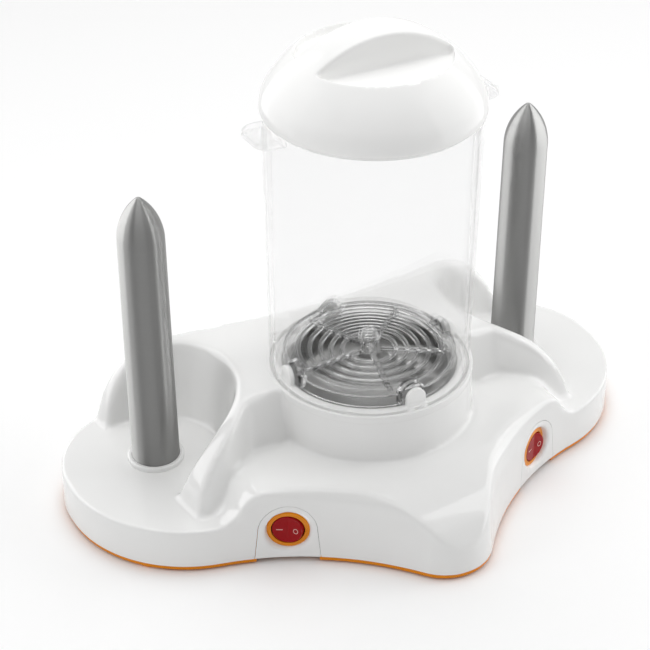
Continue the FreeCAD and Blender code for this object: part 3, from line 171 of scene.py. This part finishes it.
def add_curtain(name, centre, middle, half, reach, low, high, level, lights=True):
    """Cloth that hangs round a place at a reach, from one direction to another. Its level is the
    grey that it shows, a bright one is a lit screen, and one that lights nothing is only mirrored."""
    bm = bmesh.new()
    feet = [bm.verts.new((reach, 0, low)), bm.verts.new((reach, 0, high))]
    edge = bm.edges.new(feet)
    turn(bm, feet, middle - half)
    bmesh.ops.spin(bm, geom=feet + [edge], cent=(0, 0, 0), axis=(0, 0, 1), angle=math.radians(2 * half),
                   steps=24)
    bmesh.ops.translate(bm, verts=bm.verts, vec=centre)
    curtain = meshed(name, bm)
    cloth = bpy.data.materials.new(name + "_cloth")
    cloth.use_nodes = True
    tree = cloth.node_tree
    tree.nodes.clear()
    glow = add_node(tree, "Emission", {"Color": hex_colour("#FFFFFF"), "Strength": level})
    add_node(tree, "OutputMaterial", {}, {"Surface": glow.outputs[0]})
    curtain.data.materials.append(cloth)
    curtain.visible_camera = False
    curtain.visible_transmission = False
    curtain.visible_shadow = False
    curtain.visible_diffuse = lights


def add_lamp(name, place, target, width, height, power):
    """Softbox at a place in metres, turned to its target."""
    data = bpy.data.lights.new(name, "AREA")
    data.shape = "RECTANGLE"
    data.size = width
    data.size_y = height
    data.energy = power
    lamp = bpy.data.objects.new(name, data)
    lamp.location = place
    lamp.rotation_euler = (Vector(target) - Vector(place)).to_track_quat("-Z", "Y").to_euler()
    bpy.context.scene.collection.objects.link(lamp)


def light_studio():
    """Softboxes to the left, right, top and front, a dim side behind the camera that the gloss
    mirrors, two darker sheets beside it, and a lit screen for each spike on the jar's side."""
    add_curtain("camera_side", (0, 0, 0), FRONT, 50, 2.0, 0.0, 2.2, 0.15)
    for word, side in SIDES:
        add_curtain(word + "_dark", (0, 0, 0), FRONT - side * 62, 12, 1.9, 0.0, 1.6, 0.02, lights=False)
        add_curtain(word + "_screen", (side * SPIKE_X * MM, SPIKE_Y * MM, 0), FRONT - side * 100, 28, 0.7,
                    0.03, 0.9, 3.4, lights=False)
    add_lamp("left_softbox", (-1.3, 0.1, 0.7), (0, 0, 0.1), 0.5, 1.2, 2.5)
    add_lamp("right_softbox", (1.3, -0.3, 0.7), (0, 0, 0.1), 0.5, 1.2, 4)
    add_lamp("top_softbox", (0.1, 0.4, 1.6), (0, 0, 0.05), 1.0, 1.0, 6.5)
    add_lamp("front_softbox", (-0.5, -0.8, 1.4), (0, 0, 0.05), 1.2, 0.9, 3)


def add_floor():
    """Pale table top that keeps the soft shadow."""
    bm = bmesh.new()
    bmesh.ops.create_grid(bm, x_segments=1, y_segments=1, size=6)
    floor = meshed("table_top", bm)
    paint, _, shader = start_material("table_top_paint", "#FDFDFD", 0.9)
    shader.inputs["Specular IOR Level"].default_value = 0.1
    floor.data.materials.append(paint)


# Materials. Patterns are sized in real millimetres on the object's own coordinates.


def start_material(name, colour, roughness, metallic=0.0, ior=None):
    """Material with these values on its shader, with its node tree and its shader."""
    paint = bpy.data.materials.new(name)
    paint.use_nodes = True
    shader = paint.node_tree.nodes["Principled BSDF"]
    shader.inputs["Base Color"].default_value = hex_colour(colour)
    shader.inputs["Roughness"].default_value = roughness
    shader.inputs["Metallic"].default_value = metallic
    if ior is not None:
        shader.inputs["IOR"].default_value = ior
    return paint, paint.node_tree, shader


def grain(tree, size_mm, stretch=(1, 1, 1), detail=3.0):
    """Noise on object coordinates with grains of this size."""
    place = add_node(tree, "TexCoord")
    mapped = add_node(tree, "Mapping", {"Scale": [1000 / size_mm * share for share in stretch]},
                      {"Vector": place.outputs["Object"]})
    return add_node(tree, "TexNoise", {"Scale": 1.0, "Detail": detail}, {"Vector": mapped.outputs[0]})


def vary_gloss(tree, shader, pattern, low, high):
    """Lets the roughness follow a pattern between two values."""
    gloss = add_node(tree, "MapRange", {"To Min": low, "To Max": high}, {"Value": pattern.outputs["Fac"]})
    tree.links.new(gloss.outputs[0], shader.inputs["Roughness"])


def add_relief(tree, shader, pattern, strength, height_um):
    """Bump that follows a pattern."""
    relief = add_node(tree, "Bump", {"Strength": strength, "Distance": height_um * 1e-6},
                      {"Height": pattern.outputs["Fac"]})
    tree.links.new(relief.outputs[0], shader.inputs["Normal"])


def moulded_plastic(name, colour, shade, roughness, ior, grain_mm, bump_um, sheen=0.5):
    """Injection-moulded plastic. Its two close tones flow into each other over 40 mm, and its
    skin has a fine grain that breaks reflections up a little."""
    paint, tree, shader = start_material(name, colour, roughness, ior=ior)
    shader.inputs["Specular IOR Level"].default_value = sheen
    flow = grain(tree, 40.0, detail=2.0)
    tint = add_node(tree, "Mix", {"data_type": "RGBA"}, {0: flow.outputs["Fac"]})
    tint.inputs[6].default_value = hex_colour(shade)
    tint.inputs[7].default_value = hex_colour(colour)
    tree.links.new(tint.outputs[2], shader.inputs["Base Color"])
    skin = grain(tree, grain_mm)
    vary_gloss(tree, shader, skin, roughness * 0.8, roughness * 1.25)
    add_relief(tree, shader, skin, 1.0, bump_um)
    return paint


def clear_plastic(name, ior, colour="#FDFDFD", alpha=1.0):
    """Clear styrene: light passes through and bends by the index, and the polish of its mould
    varies a little over 6 mm. An alpha under 1 thins it to a veil."""
    paint, tree, shader = start_material(name, colour, 0.0, ior=ior)
    shader.inputs["Transmission Weight"].default_value = 1.0
    shader.inputs["Alpha"].default_value = alpha
    skin = grain(tree, 6.0, detail=1.0)
    vary_gloss(tree, shader, skin, 0.0, 0.03)
    return paint


def turned_steel(name, colour, roughness, spread, line_mm, turn_share=0.25):
    """Stainless steel polished on a lathe: fine rings round its axis, which draw reflections out
    along it. Rings of a tenth of a millimetre are drawn coarser so that they show."""
    paint, tree, shader = start_material(name, colour, roughness, metallic=1.0)
    shader.inputs["Anisotropic"].default_value = spread
    shader.inputs["Anisotropic Rotation"].default_value = turn_share
    tangent = add_node(tree, "Tangent", {"direction_type": "RADIAL", "axis": "Z"})
    tree.links.new(tangent.outputs[0], shader.inputs["Tangent"])
    rings = grain(tree, line_mm, stretch=(0.02, 0.02, 1.0))
    vary_gloss(tree, shader, rings, roughness * 0.85, roughness * 1.2)
    add_relief(tree, shader, rings, 0.4, 3)
    return paint


def plain_metal(name, colour, roughness, grain_mm):
    """Pressed, cast or plated metal with a fine even grain."""
    paint, tree, shader = start_material(name, colour, roughness, metallic=1.0)
    skin = grain(tree, grain_mm)
    vary_gloss(tree, shader, skin, roughness * 0.7, roughness * 1.3)
    add_relief(tree, shader, skin, 0.3, 5)
    return paint


def make_materials():
    """The finishes by the slots of the record, and a few more for pieces of the scene."""
    return {
        # ABS from a polished mould: near white, with clear but soft reflections of the studio.
        "white_plastic": moulded_plastic("gloss_white_abs", "#F2F2F1", "#EFEFEE", 0.07, 1.53, 0.6, 2, 0.4),
        # Milky polypropylene, waxier than the housing, so its reflections are faint; its lighter white is
        # painted light through the lid.
        "lid_white": moulded_plastic("milky_polypropylene_painted_glow", "#FCFCFB", "#F9F9F8", 0.12, 1.5, 0.8,
                                     2, 0.13),
        # The switch ring's white: full white, painted lighter than its panel to stand in for light that its
        # round face catches.
        "painted_light_white": moulded_plastic("white_abs_painted_lit", "#FFFFFF", "#FCFCFC", 0.07, 1.53, 0.6, 1),
        # Coloured ABS with a fine spark texture: warm orange with a broad, dull highlight.
        "orange_plastic": moulded_plastic("orange_abs", "#EB8E06", "#E58805", 0.28, 1.53, 0.5, 4, 0.25),
        # Polycarbonate of the rockers: deep red that stays dark, because little is mirrored in it.
        "red_plastic": moulded_plastic("red_polycarbonate", "#A20E16", "#960B12", 0.2, 1.58, 0.5, 2, 0.1),
        # Paint pressed on by a pad: thin and matt, so the red below makes its white pinkish.
        "mark_paint": moulded_plastic("pad_printed_paint", "#E8BDB8", "#E3B6B0", 0.4, 1.5, 0.5, 2),
        # Nylon of holders, clamps and switch bodies: black, with a dry grain.
        "black_plastic": moulded_plastic("black_nylon", "#1B1B1C", "#161617", 0.45, 1.53, 0.4, 8),
        # Unfilled nylon of the terminal block and the fuse's sleeve: warm and matt.
        "ivory_plastic": moulded_plastic("ivory_nylon", "#E4DFCD", "#DDD7C3", 0.5, 1.53, 0.4, 8),
        # Cast silicone of the pan's seal: milky and dull, with a soft skin.
        "silicone": moulded_plastic("cured_silicone", "#EFEDE6", "#E9E7DF", 0.6, 1.41, 0.8, 10),
        # Rubber of the cord gland: nearly black, with a wide faint highlight.
        "black_rubber": moulded_plastic("black_rubber", "#161616", "#101010", 0.6, 1.52, 0.5, 12),
        # The tray's styrene bends light fully, so its edges and rings are drawn dark and bright.
        "clear_plastic": clear_plastic("clear_styrene", 1.45),
        # The jar's thin wall bends light hardly at all: only its rims and a pale veil show.
        "jar_plastic": clear_plastic("clear_styrene_wall", 1.03, "#EFEFEF", 0.3),
        # The jar's thicker ears: clear, with light grey edges.
        "ear_plastic": clear_plastic("clear_styrene_ear", 1.25, "#F1F1F1", 0.35),
        # Bun spikes: satin from the lathe, with long soft bands of light along them.
        "spike_steel": turned_steel("turned_stainless", "#9A9A99", 0.42, 1.0, 0.25),
        # Boiler pan: polished, grey with a broad glow round its corner.
        "pan_steel": turned_steel("polished_stainless", "#949493", 0.35, 0.4, 0.3),
        # Screws: bright zinc plating with a fine crystal grain.
        "screw_steel": plain_metal("zinc_plated_steel", "#B9BABB", 0.35, 0.15),
        # Sheath of the heaters: drawn steel that heat has dulled.
        "element_steel": plain_metal("sheath_steel", "#7C7B77", 0.45, 0.2),
        # Heat spreader: cast and tumbled, pale and matt.
        "cast_aluminium": plain_metal("cast_aluminium", "#C2C3C5", 0.5, 0.3),
    }


# Mesh helpers


def turn(bm, verts, degrees, axis="Z"):
    """Turns points about an axis through the origin."""
    bmesh.ops.rotate(bm, verts=verts, cent=(0, 0, 0), matrix=Matrix.Rotation(math.radians(degrees), 3, axis))


def shift(bm, verts, x, y, z):
    """Moves points by millimetres."""
    bmesh.ops.translate(bm, verts=verts, vec=(x * MM, y * MM, z * MM))


def new_verts(grown):
    """The points that an extrusion made."""
    return [item for item in grown["geom"] if isinstance(item, bmesh.types.BMVert)]


def link_piece(name, mesh):
    """Puts the mesh in the scene as an object at the origin."""
    piece = bpy.data.objects.new(name, mesh)
    bpy.context.scene.collection.objects.link(piece)
    return piece


def meshed(name, bm):
    """Makes bm an object of the scene and frees it."""
    mesh = bpy.data.meshes.new(name)
    bm.to_mesh(mesh)
    bm.free()
    return link_piece(name, mesh)


def dressed(piece, body, slot, replaced=(), finish=None):
    """Gives a piece its finish, the slot's unless another is named, and its body, and hides the nodes that it
    replaces.
    """
    piece.data.materials.clear()
    piece.data.materials.append(materials[finish or slot])
    for face in piece.data.polygons:
        face.use_smooth = True
    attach(piece, body)
    if replaced:
        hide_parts(*replaced)
    return piece


def finished(name, bm, body, slot, replaced=(), finish=None):
    """Puts the mesh in the scene with its finish and its body."""
    return dressed(meshed(name, bm), body, slot, replaced, finish)


def baked(piece):
    """Makes the piece's modifiers part of its mesh."""
    bpy.context.view_layer.update()
    graph = bpy.context.evaluated_depsgraph_get()
    mesh = bpy.data.meshes.new_from_object(piece.evaluated_get(graph))
    name = piece.name
    bpy.data.objects.remove(piece)
    return link_piece(name, mesh)


def joined(piece, others, operation):
    """Cuts the others out of the piece, or makes them one with it."""
    for other in others:
        step = piece.modifiers.new(other.name, "BOOLEAN")
        step.operation = operation
        step.solver = "EXACT"
        step.object = other
    piece = baked(piece)
    for other in others:
        bpy.data.objects.remove(other)
    return piece


def add_to(bm, other):
    """Adds the other mesh to bm and frees it."""
    mesh = bpy.data.meshes.new("part")
    other.to_mesh(mesh)
    other.free()
    bm.from_mesh(mesh)
    bpy.data.meshes.remove(mesh)


def crease(piece, angle):
    """Smooth shading that stays sharp over edges steeper than the angle."""
    piece.data.set_sharp_from_angle(angle=math.radians(angle))


def spun(profile, centre, turns=160):
    """Closed ring or solid turned about an upright axis from its (radius, level) outline."""
    bm = bmesh.new()
    verts = [bm.verts.new((radius * MM, 0, level * MM)) for radius, level in profile]
    edges = []
    for number, point in enumerate(profile):
        after = (number + 1) % len(profile)
        if point[0] or profile[after][0]:
            edges.append(bm.edges.new((verts[number], verts[after])))
    bmesh.ops.spin(bm, geom=verts + edges, cent=(0, 0, 0), axis=(0, 0, 1), angle=2 * math.pi, steps=turns,
                   use_merge=True)
    bmesh.ops.remove_doubles(bm, verts=bm.verts, dist=2e-6)
    bmesh.ops.recalc_face_normals(bm, faces=bm.faces)
    shift(bm, bm.verts, *centre)
    return bm


def block(length, width, height):
    """Block about the origin."""
    bm = bmesh.new()
    bmesh.ops.create_cube(bm, size=1)
    bmesh.ops.scale(bm, vec=Vector((length, width, height)) * MM, verts=bm.verts)
    return bm


def circle(bm, radius, segments, filled=False):
    """Adds a circle about the origin and gives its points."""
    made = bmesh.ops.create_circle(bm, cap_ends=filled, cap_tris=False, segments=segments, radius=radius * MM)
    return made["verts"]


def bevel(bm, edges, width, segments, limited):
    """Rounds the edges over a width."""
    bmesh.ops.bevel(bm, geom=edges, offset=width * MM, offset_type="OFFSET", segments=segments, profile=0.5,
                    affect="EDGES", material=-1, clamp_overlap=limited)


def round_sharp(bm, width, angle=30):
    """Rounds every edge that is sharper than the angle."""
    sharp = [edge for edge in bm.edges
             if len(edge.link_faces) == 2 and edge.calc_face_angle(0) > math.radians(angle)]
    bevel(bm, sharp, width, 3, True)


# Housing and lid


def moulded(name, nodes, voxel, passes, faces, body, slot, floor=None, crests=0, grooves=(), finish=None):
    """Softened copy of CAD nodes, as the mould's rounded edges leave them. The lower rim at the
    floor level is drawn down before the softening and cut flat again after it. The guard walls'
    crests get more passes, because they are rounder."""
    bm = bmesh.new()
    for node in nodes:
        bm.from_mesh(frame["nodes"][node].data)
    bmesh.ops.remove_doubles(bm, verts=bm.verts, dist=2e-6)
    if floor is not None:
        for vert in bm.verts:
            if vert.co.z < SOLID_RIM * MM + 1e-5:
                vert.co.z = (floor - 4) * MM
    piece = meshed(name, bm)
    skin = piece.modifiers.new("skin", "REMESH")
    skin.mode = "VOXEL"
    skin.voxel_size = voxel * MM
    smoothed(piece, "soft", passes)
    piece = baked(piece)
    if crests:
        group = piece.vertex_groups.new(name="crests")
        for vert in piece.data.vertices:
            share = crest_share(vert.co / MM)
            if share > 0:
                group.add([vert.index], share, "REPLACE")
        smoothed(piece, "crests", crests).vertex_group = "crests"
        piece = baked(piece)
    if floor is not None:
        cut_flat(piece.data, floor)
    count = sum(len(face.vertices) - 2 for face in piece.data.polygons)
    if count > faces:
        thin = piece.modifiers.new("thin", "DECIMATE")
        thin.ratio = faces / count
        piece = baked(piece)
    if grooves:
        piece = joined(piece, grooves, "DIFFERENCE")
    return dressed(piece, body, slot, nodes, finish)


def smoothed(piece, name, passes):
    """Adds a smoothing of so many passes."""
    soft = piece.modifiers.new(name, "SMOOTH")
    soft.factor = 0.5
    soft.iterations = passes
    return soft


def crest_share(place):
    """How much a place belongs to the guard walls' crests, which stand round the spikes."""
    from_jar = math.hypot(place.x, place.y - JAR_Y)
    if place.z < CREST_LEVEL or from_jar < CREST_FROM_JAR:
        return 0
    away = min(math.hypot(place.x - side * SPIKE_X, place.y - SPIKE_Y) for _, side in SIDES)
    if not CREST_NEAR < away < CREST_FAR:
        return 0
    return min(1, (place.z - CREST_LEVEL) / 3, (from_jar - CREST_FROM_JAR) / 6)


def cut_flat(mesh, level):
    """Cuts the mesh at a level and closes the cut with flat faces."""
    bm = bmesh.new()
    bm.from_mesh(mesh)
    everything = bm.verts[:] + bm.edges[:] + bm.faces[:]
    cut = bmesh.ops.bisect_plane(bm, geom=everything, plane_co=(0, 0, level * MM), plane_no=(0, 0, 1),
                                 clear_inner=True)
    edges = [item for item in cut["geom_cut"] if isinstance(item, bmesh.types.BMEdge)]
    bmesh.ops.triangle_fill(bm, edges=edges, use_beauty=True, normal=(0, 0, -1))
    bm.to_mesh(mesh)
    bm.free()


def add_housing():
    """Upper housing with both switch panels in it, parted from them by a groove."""
    grooves = [parting_line(word, side) for word, side in SIDES]
    shell = moulded("housing_shell", ["upper_housing", "left_switch_panel", "right_switch_panel"], 1.1, 14,
                    HOUSING_FACES, "base", "white_plastic", floor=HOUSING_RIM, crests=60, grooves=grooves)
    crease(shell, 40)


def add_lid():
    """Domed lid with its bridge handle."""
    # Painted light: the lid's finish is a lighter copy of the housing's white, for light shining through it.
    moulded("lid_shell", ["lid"], 0.75, 13, LID_FACES, "lid", "white_plastic", finish="lid_white")


# Collar, tabs and jar


def add_collar():
    """Crisp upper end of the collar, with the groove that takes the jar."""
    outline = [(49.3, COLLAR_CUT), (49.3, COLLAR_TOP), (53.8, COLLAR_TOP), (53.8, GROOVE_FLOOR),
               (56.0, GROOVE_FLOOR), (56.0, COLLAR_TOP), (58.05, COLLAR_TOP), (58.2, COLLAR_CUT)]
    bm = spun(outline, (0, JAR_Y, 0), turns=256)
    round_sharp(bm, 0.4)
    finished("collar_edge", bm, "base", "white_plastic")


def four_arches(half, low, start, end):
    """Blocks with round tops about the tabs' crowns, one on each side of the jar axis."""
    bm = bmesh.new()
    for quarter in range(4):
        verts = circle(bm, half, 48, filled=True)
        for vert in verts:
            if vert.co.y < -1e-6:
                vert.co.y = (low - TAB_CROWN) * MM
        turn(bm, verts, 90, "X")
        faces = list({face for vert in verts for face in vert.link_faces})
        far = new_verts(bmesh.ops.extrude_face_region(bm, geom=faces))
        shift(bm, far, 0, end - start, 0)
        shift(bm, verts + far, 0, start, TAB_CROWN)
        turn(bm, verts + far, 90 * quarter)
    shift(bm, bm.verts, 0, JAR_Y, 0)
    bmesh.ops.remove_doubles(bm, verts=bm.verts, dist=2e-6)
    bmesh.ops.recalc_face_normals(bm, faces=bm.faces)
    return bm


def add_tabs():
    """Four round-topped tabs that stand in the jar's foot."""
    bm = four_arches(TAB_HALF, 72.05, 50.0, 52.4)
    round_sharp(bm, 0.5, angle=50)
    finished("jar_tabs", bm, "base", "white_plastic")


def jar_ear(word, side):
    """Flat ear at the jar's top with two round outer corners."""
    bm = block(*EAR_SIZE)
    upright = [edge for edge in bm.edges
               if abs(edge.verts[0].co.z - edge.verts[1].co.z) > MM and edge.verts[0].co.x > 0]
    bevel(bm, upright, 9, 10, False)
    round_sharp(bm, 0.8)
    shift(bm, bm.verts, EAR_REACH - EAR_SIZE[0] / 2, 0, JAR_HIGH - EAR_SIZE[2] / 2)
    turn(bm, bm.verts, 180 * (side < 0))
    shift(bm, bm.verts, 0, JAR_Y, 0)
    return meshed("ear_" + word, bm)


def add_jar():
    """Clear jar: a wall that widens upwards, with rounded rims and two ears at its top."""
    foot = 55.9
    brim = 58.0
    bm = spun([(foot, JAR_LOW), (brim, JAR_HIGH), (brim - JAR_WALL, JAR_HIGH), (foot - JAR_WALL, JAR_LOW)],
              (0, JAR_Y, 0), turns=256)
    round_sharp(bm, 0.7)
    wall = meshed("jar_moulding", bm)
    ears = [jar_ear(word, side) for word, side in SIDES]
    jar = dressed(joined(wall, ears, "UNION"), "jar", "clear_plastic", ["steam_jar"], "jar_plastic")
    jar.data.materials.append(materials["ear_plastic"])
    for face in jar.data.polygons:
        if math.hypot(face.center.x, face.center.y - JAR_Y * MM) > EAR_START * MM:
            face.material_index = 1


# Tray


def tray_rim():
    """Rim with its skirt, a hood over each tab and the hood's hollow under it."""
    under = TRAY_TOP - RIM_PLATE
    outline = [(RIM_INNER, under), (RIM_INNER, TRAY_TOP), (TRAY_OUTER, TRAY_TOP), (TRAY_OUTER, TRAY_SKIRT),
               (SKIRT_INNER, TRAY_SKIRT), (SKIRT_INNER, under)]
    bm = spun(outline, (0, JAR_Y, 0), turns=192)
    round_sharp(bm, 0.5)
    rim = meshed("tray_rim", bm)
    hoods = four_arches(HOOD_HALF, TRAY_SKIRT, 43.5, 47.85)
    round_sharp(hoods, 0.4, angle=50)
    rim = joined(rim, [meshed("tray_hoods", hoods)], "UNION")
    pockets = four_arches(HOOD_HOLLOW, 74.0, 44.7, 50.0)
    return joined(rim, [meshed("tray_pockets", pockets)], "DIFFERENCE")


def tray_ring(middle):
    """One of the rings that carry the sausages."""
    inner = middle - RING_HALF
    outer = middle + RING_HALF
    under = TRAY_TOP - RING_HEIGHT
    bm = spun([(inner, under), (inner, TRAY_TOP), (outer, TRAY_TOP), (outer, under)], (0, JAR_Y, 0), turns=128)
    round_sharp(bm, 0.8)
    return bm


def tray_spoke(number):
    """Spoke from the knob to the rim, with a small ball at its outer end."""
    bm = block(37.0, 3.2, 2.2)
    round_sharp(bm, 0.8)
    shift(bm, bm.verts, 24.8, 0, TRAY_TOP - 1.2)
    ball = bmesh.new()
    bmesh.ops.create_uvsphere(ball, u_segments=24, v_segments=12, radius=1.6 * MM)
    shift(ball, ball.verts, 43.1, 0, TRAY_TOP - 0.4)
    add_to(bm, ball)
    turn(bm, bm.verts, 360 / SPOKES * number + SPOKE_START)
    shift(bm, bm.verts, 0, JAR_Y, 0)
    return bm


def tray_knob():
    """Hollow knob that flares upwards, with soft flutes and an arch through its foot."""
    outline = [(4.6, -2.4), (4.4, 0.6), (5.2, 3.2), (6.3, 6.2), (6.5, 8.2), (5.6, 9.5), (0, 9.5), (0, 8.0),
               (4.6, 8.0), (4.8, 6.4), (3.8, 3.4), (3.0, 0.6), (3.0, -2.4)]
    bm = spun([(radius, TRAY_TOP + level) for radius, level in outline], (0, JAR_Y, 0), turns=112)
    round_sharp(bm, 0.4, angle=20)
    for vert in bm.verts:
        level = vert.co.z / MM - TRAY_TOP
        y = vert.co.y - JAR_Y * MM
        outside = math.hypot(vert.co.x, y) > 4.85 * MM
        if 1.0 < level < 8.4 and (outside or level < 3.3):
            swell = 1 + 0.025 * math.cos(FLUTES * math.atan2(y, vert.co.x))
            vert.co.x *= swell
            vert.co.y = JAR_Y * MM + y * swell
    knob = meshed("tray_knob", bm)
    arch = bmesh.new()
    bmesh.ops.create_cone(arch, cap_ends=True, cap_tris=False, segments=32, radius1=2.4 * MM,
                          radius2=2.4 * MM, depth=20 * MM)
    turn(arch, arch.verts, 90, "X")
    turn(arch, arch.verts, -14)
    shift(arch, arch.verts, 0, JAR_Y, TRAY_TOP + 1.8)
    return joined(knob, [meshed("knob_arch", arch)], "DIFFERENCE")


def add_tray():
    """Clear tray: a rim and skirt with a hood over each tab, rings, spokes and a knob."""
    bm = bmesh.new()
    rim = tray_rim()
    bm.from_mesh(rim.data)
    bpy.data.objects.remove(rim)
    for number in range(RINGS):
        add_to(bm, tray_ring(RING_START + RING_STEP * number))
    for number in range(SPOKES):
        add_to(bm, tray_spoke(number))
    knob = tray_knob()
    bm.from_mesh(knob.data)
    bpy.data.objects.remove(knob)
    piece = finished("tray_moulding", bm, "tray", "clear_plastic", ["sausage_tray"])
    crease(piece, 35)


# Switches


def switch_matrix(side):
    """Place and direction of a switch's face."""
    x, y, z = SWITCH
    outwards = Matrix.Rotation(math.radians(side * SWITCH_TURN), 4, "Z")
    return Matrix.Translation(Vector((side * x, y, z)) * MM) @ outwards


def parting_line(name, side):
    """Thin arched sheet along the edge of a switch's panel, leaning as the wall does. The real
    joint of a tenth of a millimetre is drawn wider so that it shows."""
    bm = bmesh.new()
    rims = []
    for half in (16.0, 16.22):
        verts = circle(bm, half, 48)
        for vert in verts:
            if vert.co.y < -1e-6:
                vert.co.y = -SWITCH[2] * MM
                vert.co.x *= 1.15
        rims += list({edge for vert in verts for edge in vert.link_edges})
    bmesh.ops.bridge_loops(bm, edges=rims)
    far = new_verts(bmesh.ops.extrude_face_region(bm, geom=bm.faces[:]))
    shift(bm, far, 0, 0, 12)
    shift(bm, bm.verts, 0, 0, -0.5)
    bmesh.ops.recalc_face_normals(bm, faces=bm.faces)
    turn(bm, bm.verts, 90 - WALL_LEAN, "X")
    bmesh.ops.transform(bm, verts=bm.verts, matrix=switch_matrix(side))
    return meshed(name + "_parting_line", bm)


def add_switch_ring(name, side):
    """Raised round ring that is moulded on the switch's panel."""
    outline = [(12.1, -3.0)]
    for degrees in range(-90, 91, 15):
        angle = math.radians(degrees)
        outline.append((13.5 + 1.4 * math.sin(angle), 1.3 * math.cos(angle) - 0.3))
    outline.append((14.9, -3.0))
    bm = spun(outline, (0, 0, 0), turns=96)
    turn(bm, bm.verts, 90, "X")
    bmesh.ops.transform(bm, verts=bm.verts, matrix=switch_matrix(side))
    # Painted light: the ring's finish is a lighter copy of the panel's white, for the light its round face
    # catches.
    finished(name + "_switch_ring", bm, "base", "white_plastic", finish="painted_light_white")


def add_marks(name, side):
    """The dash and the ring that mark a rocker's two sides."""
    bm = bmesh.new()
    dash = bmesh.ops.create_grid(bm, x_segments=1, y_segments=1, size=0.5 * MM)["verts"]
    bmesh.ops.scale(bm, vec=(3.6, 0.5, 1), verts=dash)
    shift(bm, dash, -4.6, 0, 0)
    ring = circle(bm, 1.75, 32)
    edges = list({edge for vert in ring for edge in vert.link_edges})
    inner = new_verts(bmesh.ops.extrude_edge_only(bm, edges=edges))
    bmesh.ops.scale(bm, vec=(0.76, 0.76, 1), verts=inner)
    ring += inner
    bmesh.ops.scale(bm, vec=(0.8, 1.0, 1), verts=ring)
    shift(bm, ring, 4.4, 0, 0)
    turn(bm, bm.verts, 90, "X")
    turn(bm, ring, -ROCKER_SLOPE)
    shift(bm, bm.verts, 0, -0.66, 0)
    bmesh.ops.transform(bm, verts=bm.verts, matrix=switch_matrix(side))
    finished(name + "_rocker_marks", bm, name + "_rocker", "white_plastic", finish="mark_paint")


def dress_nodes():
    """Gives every CAD node its finish."""
    slots = {part["node"]: part["material_slot"] for part in frame["record"]["subparts"]}
    for name, node in frame["nodes"].items():
        node.data.materials.clear()
        node.data.materials.append(materials[slots[name]])


set_camera()
set_world()
light_studio()
add_floor()
materials = make_materials()
dress_nodes()
add_housing()
add_lid()
add_tray()
add_jar()
add_collar()
add_tabs()
for word, side in SIDES:
    add_switch_ring(word, side)
    add_marks(word, side)
bpy.context.scene.view_settings.view_transform = "Standard"
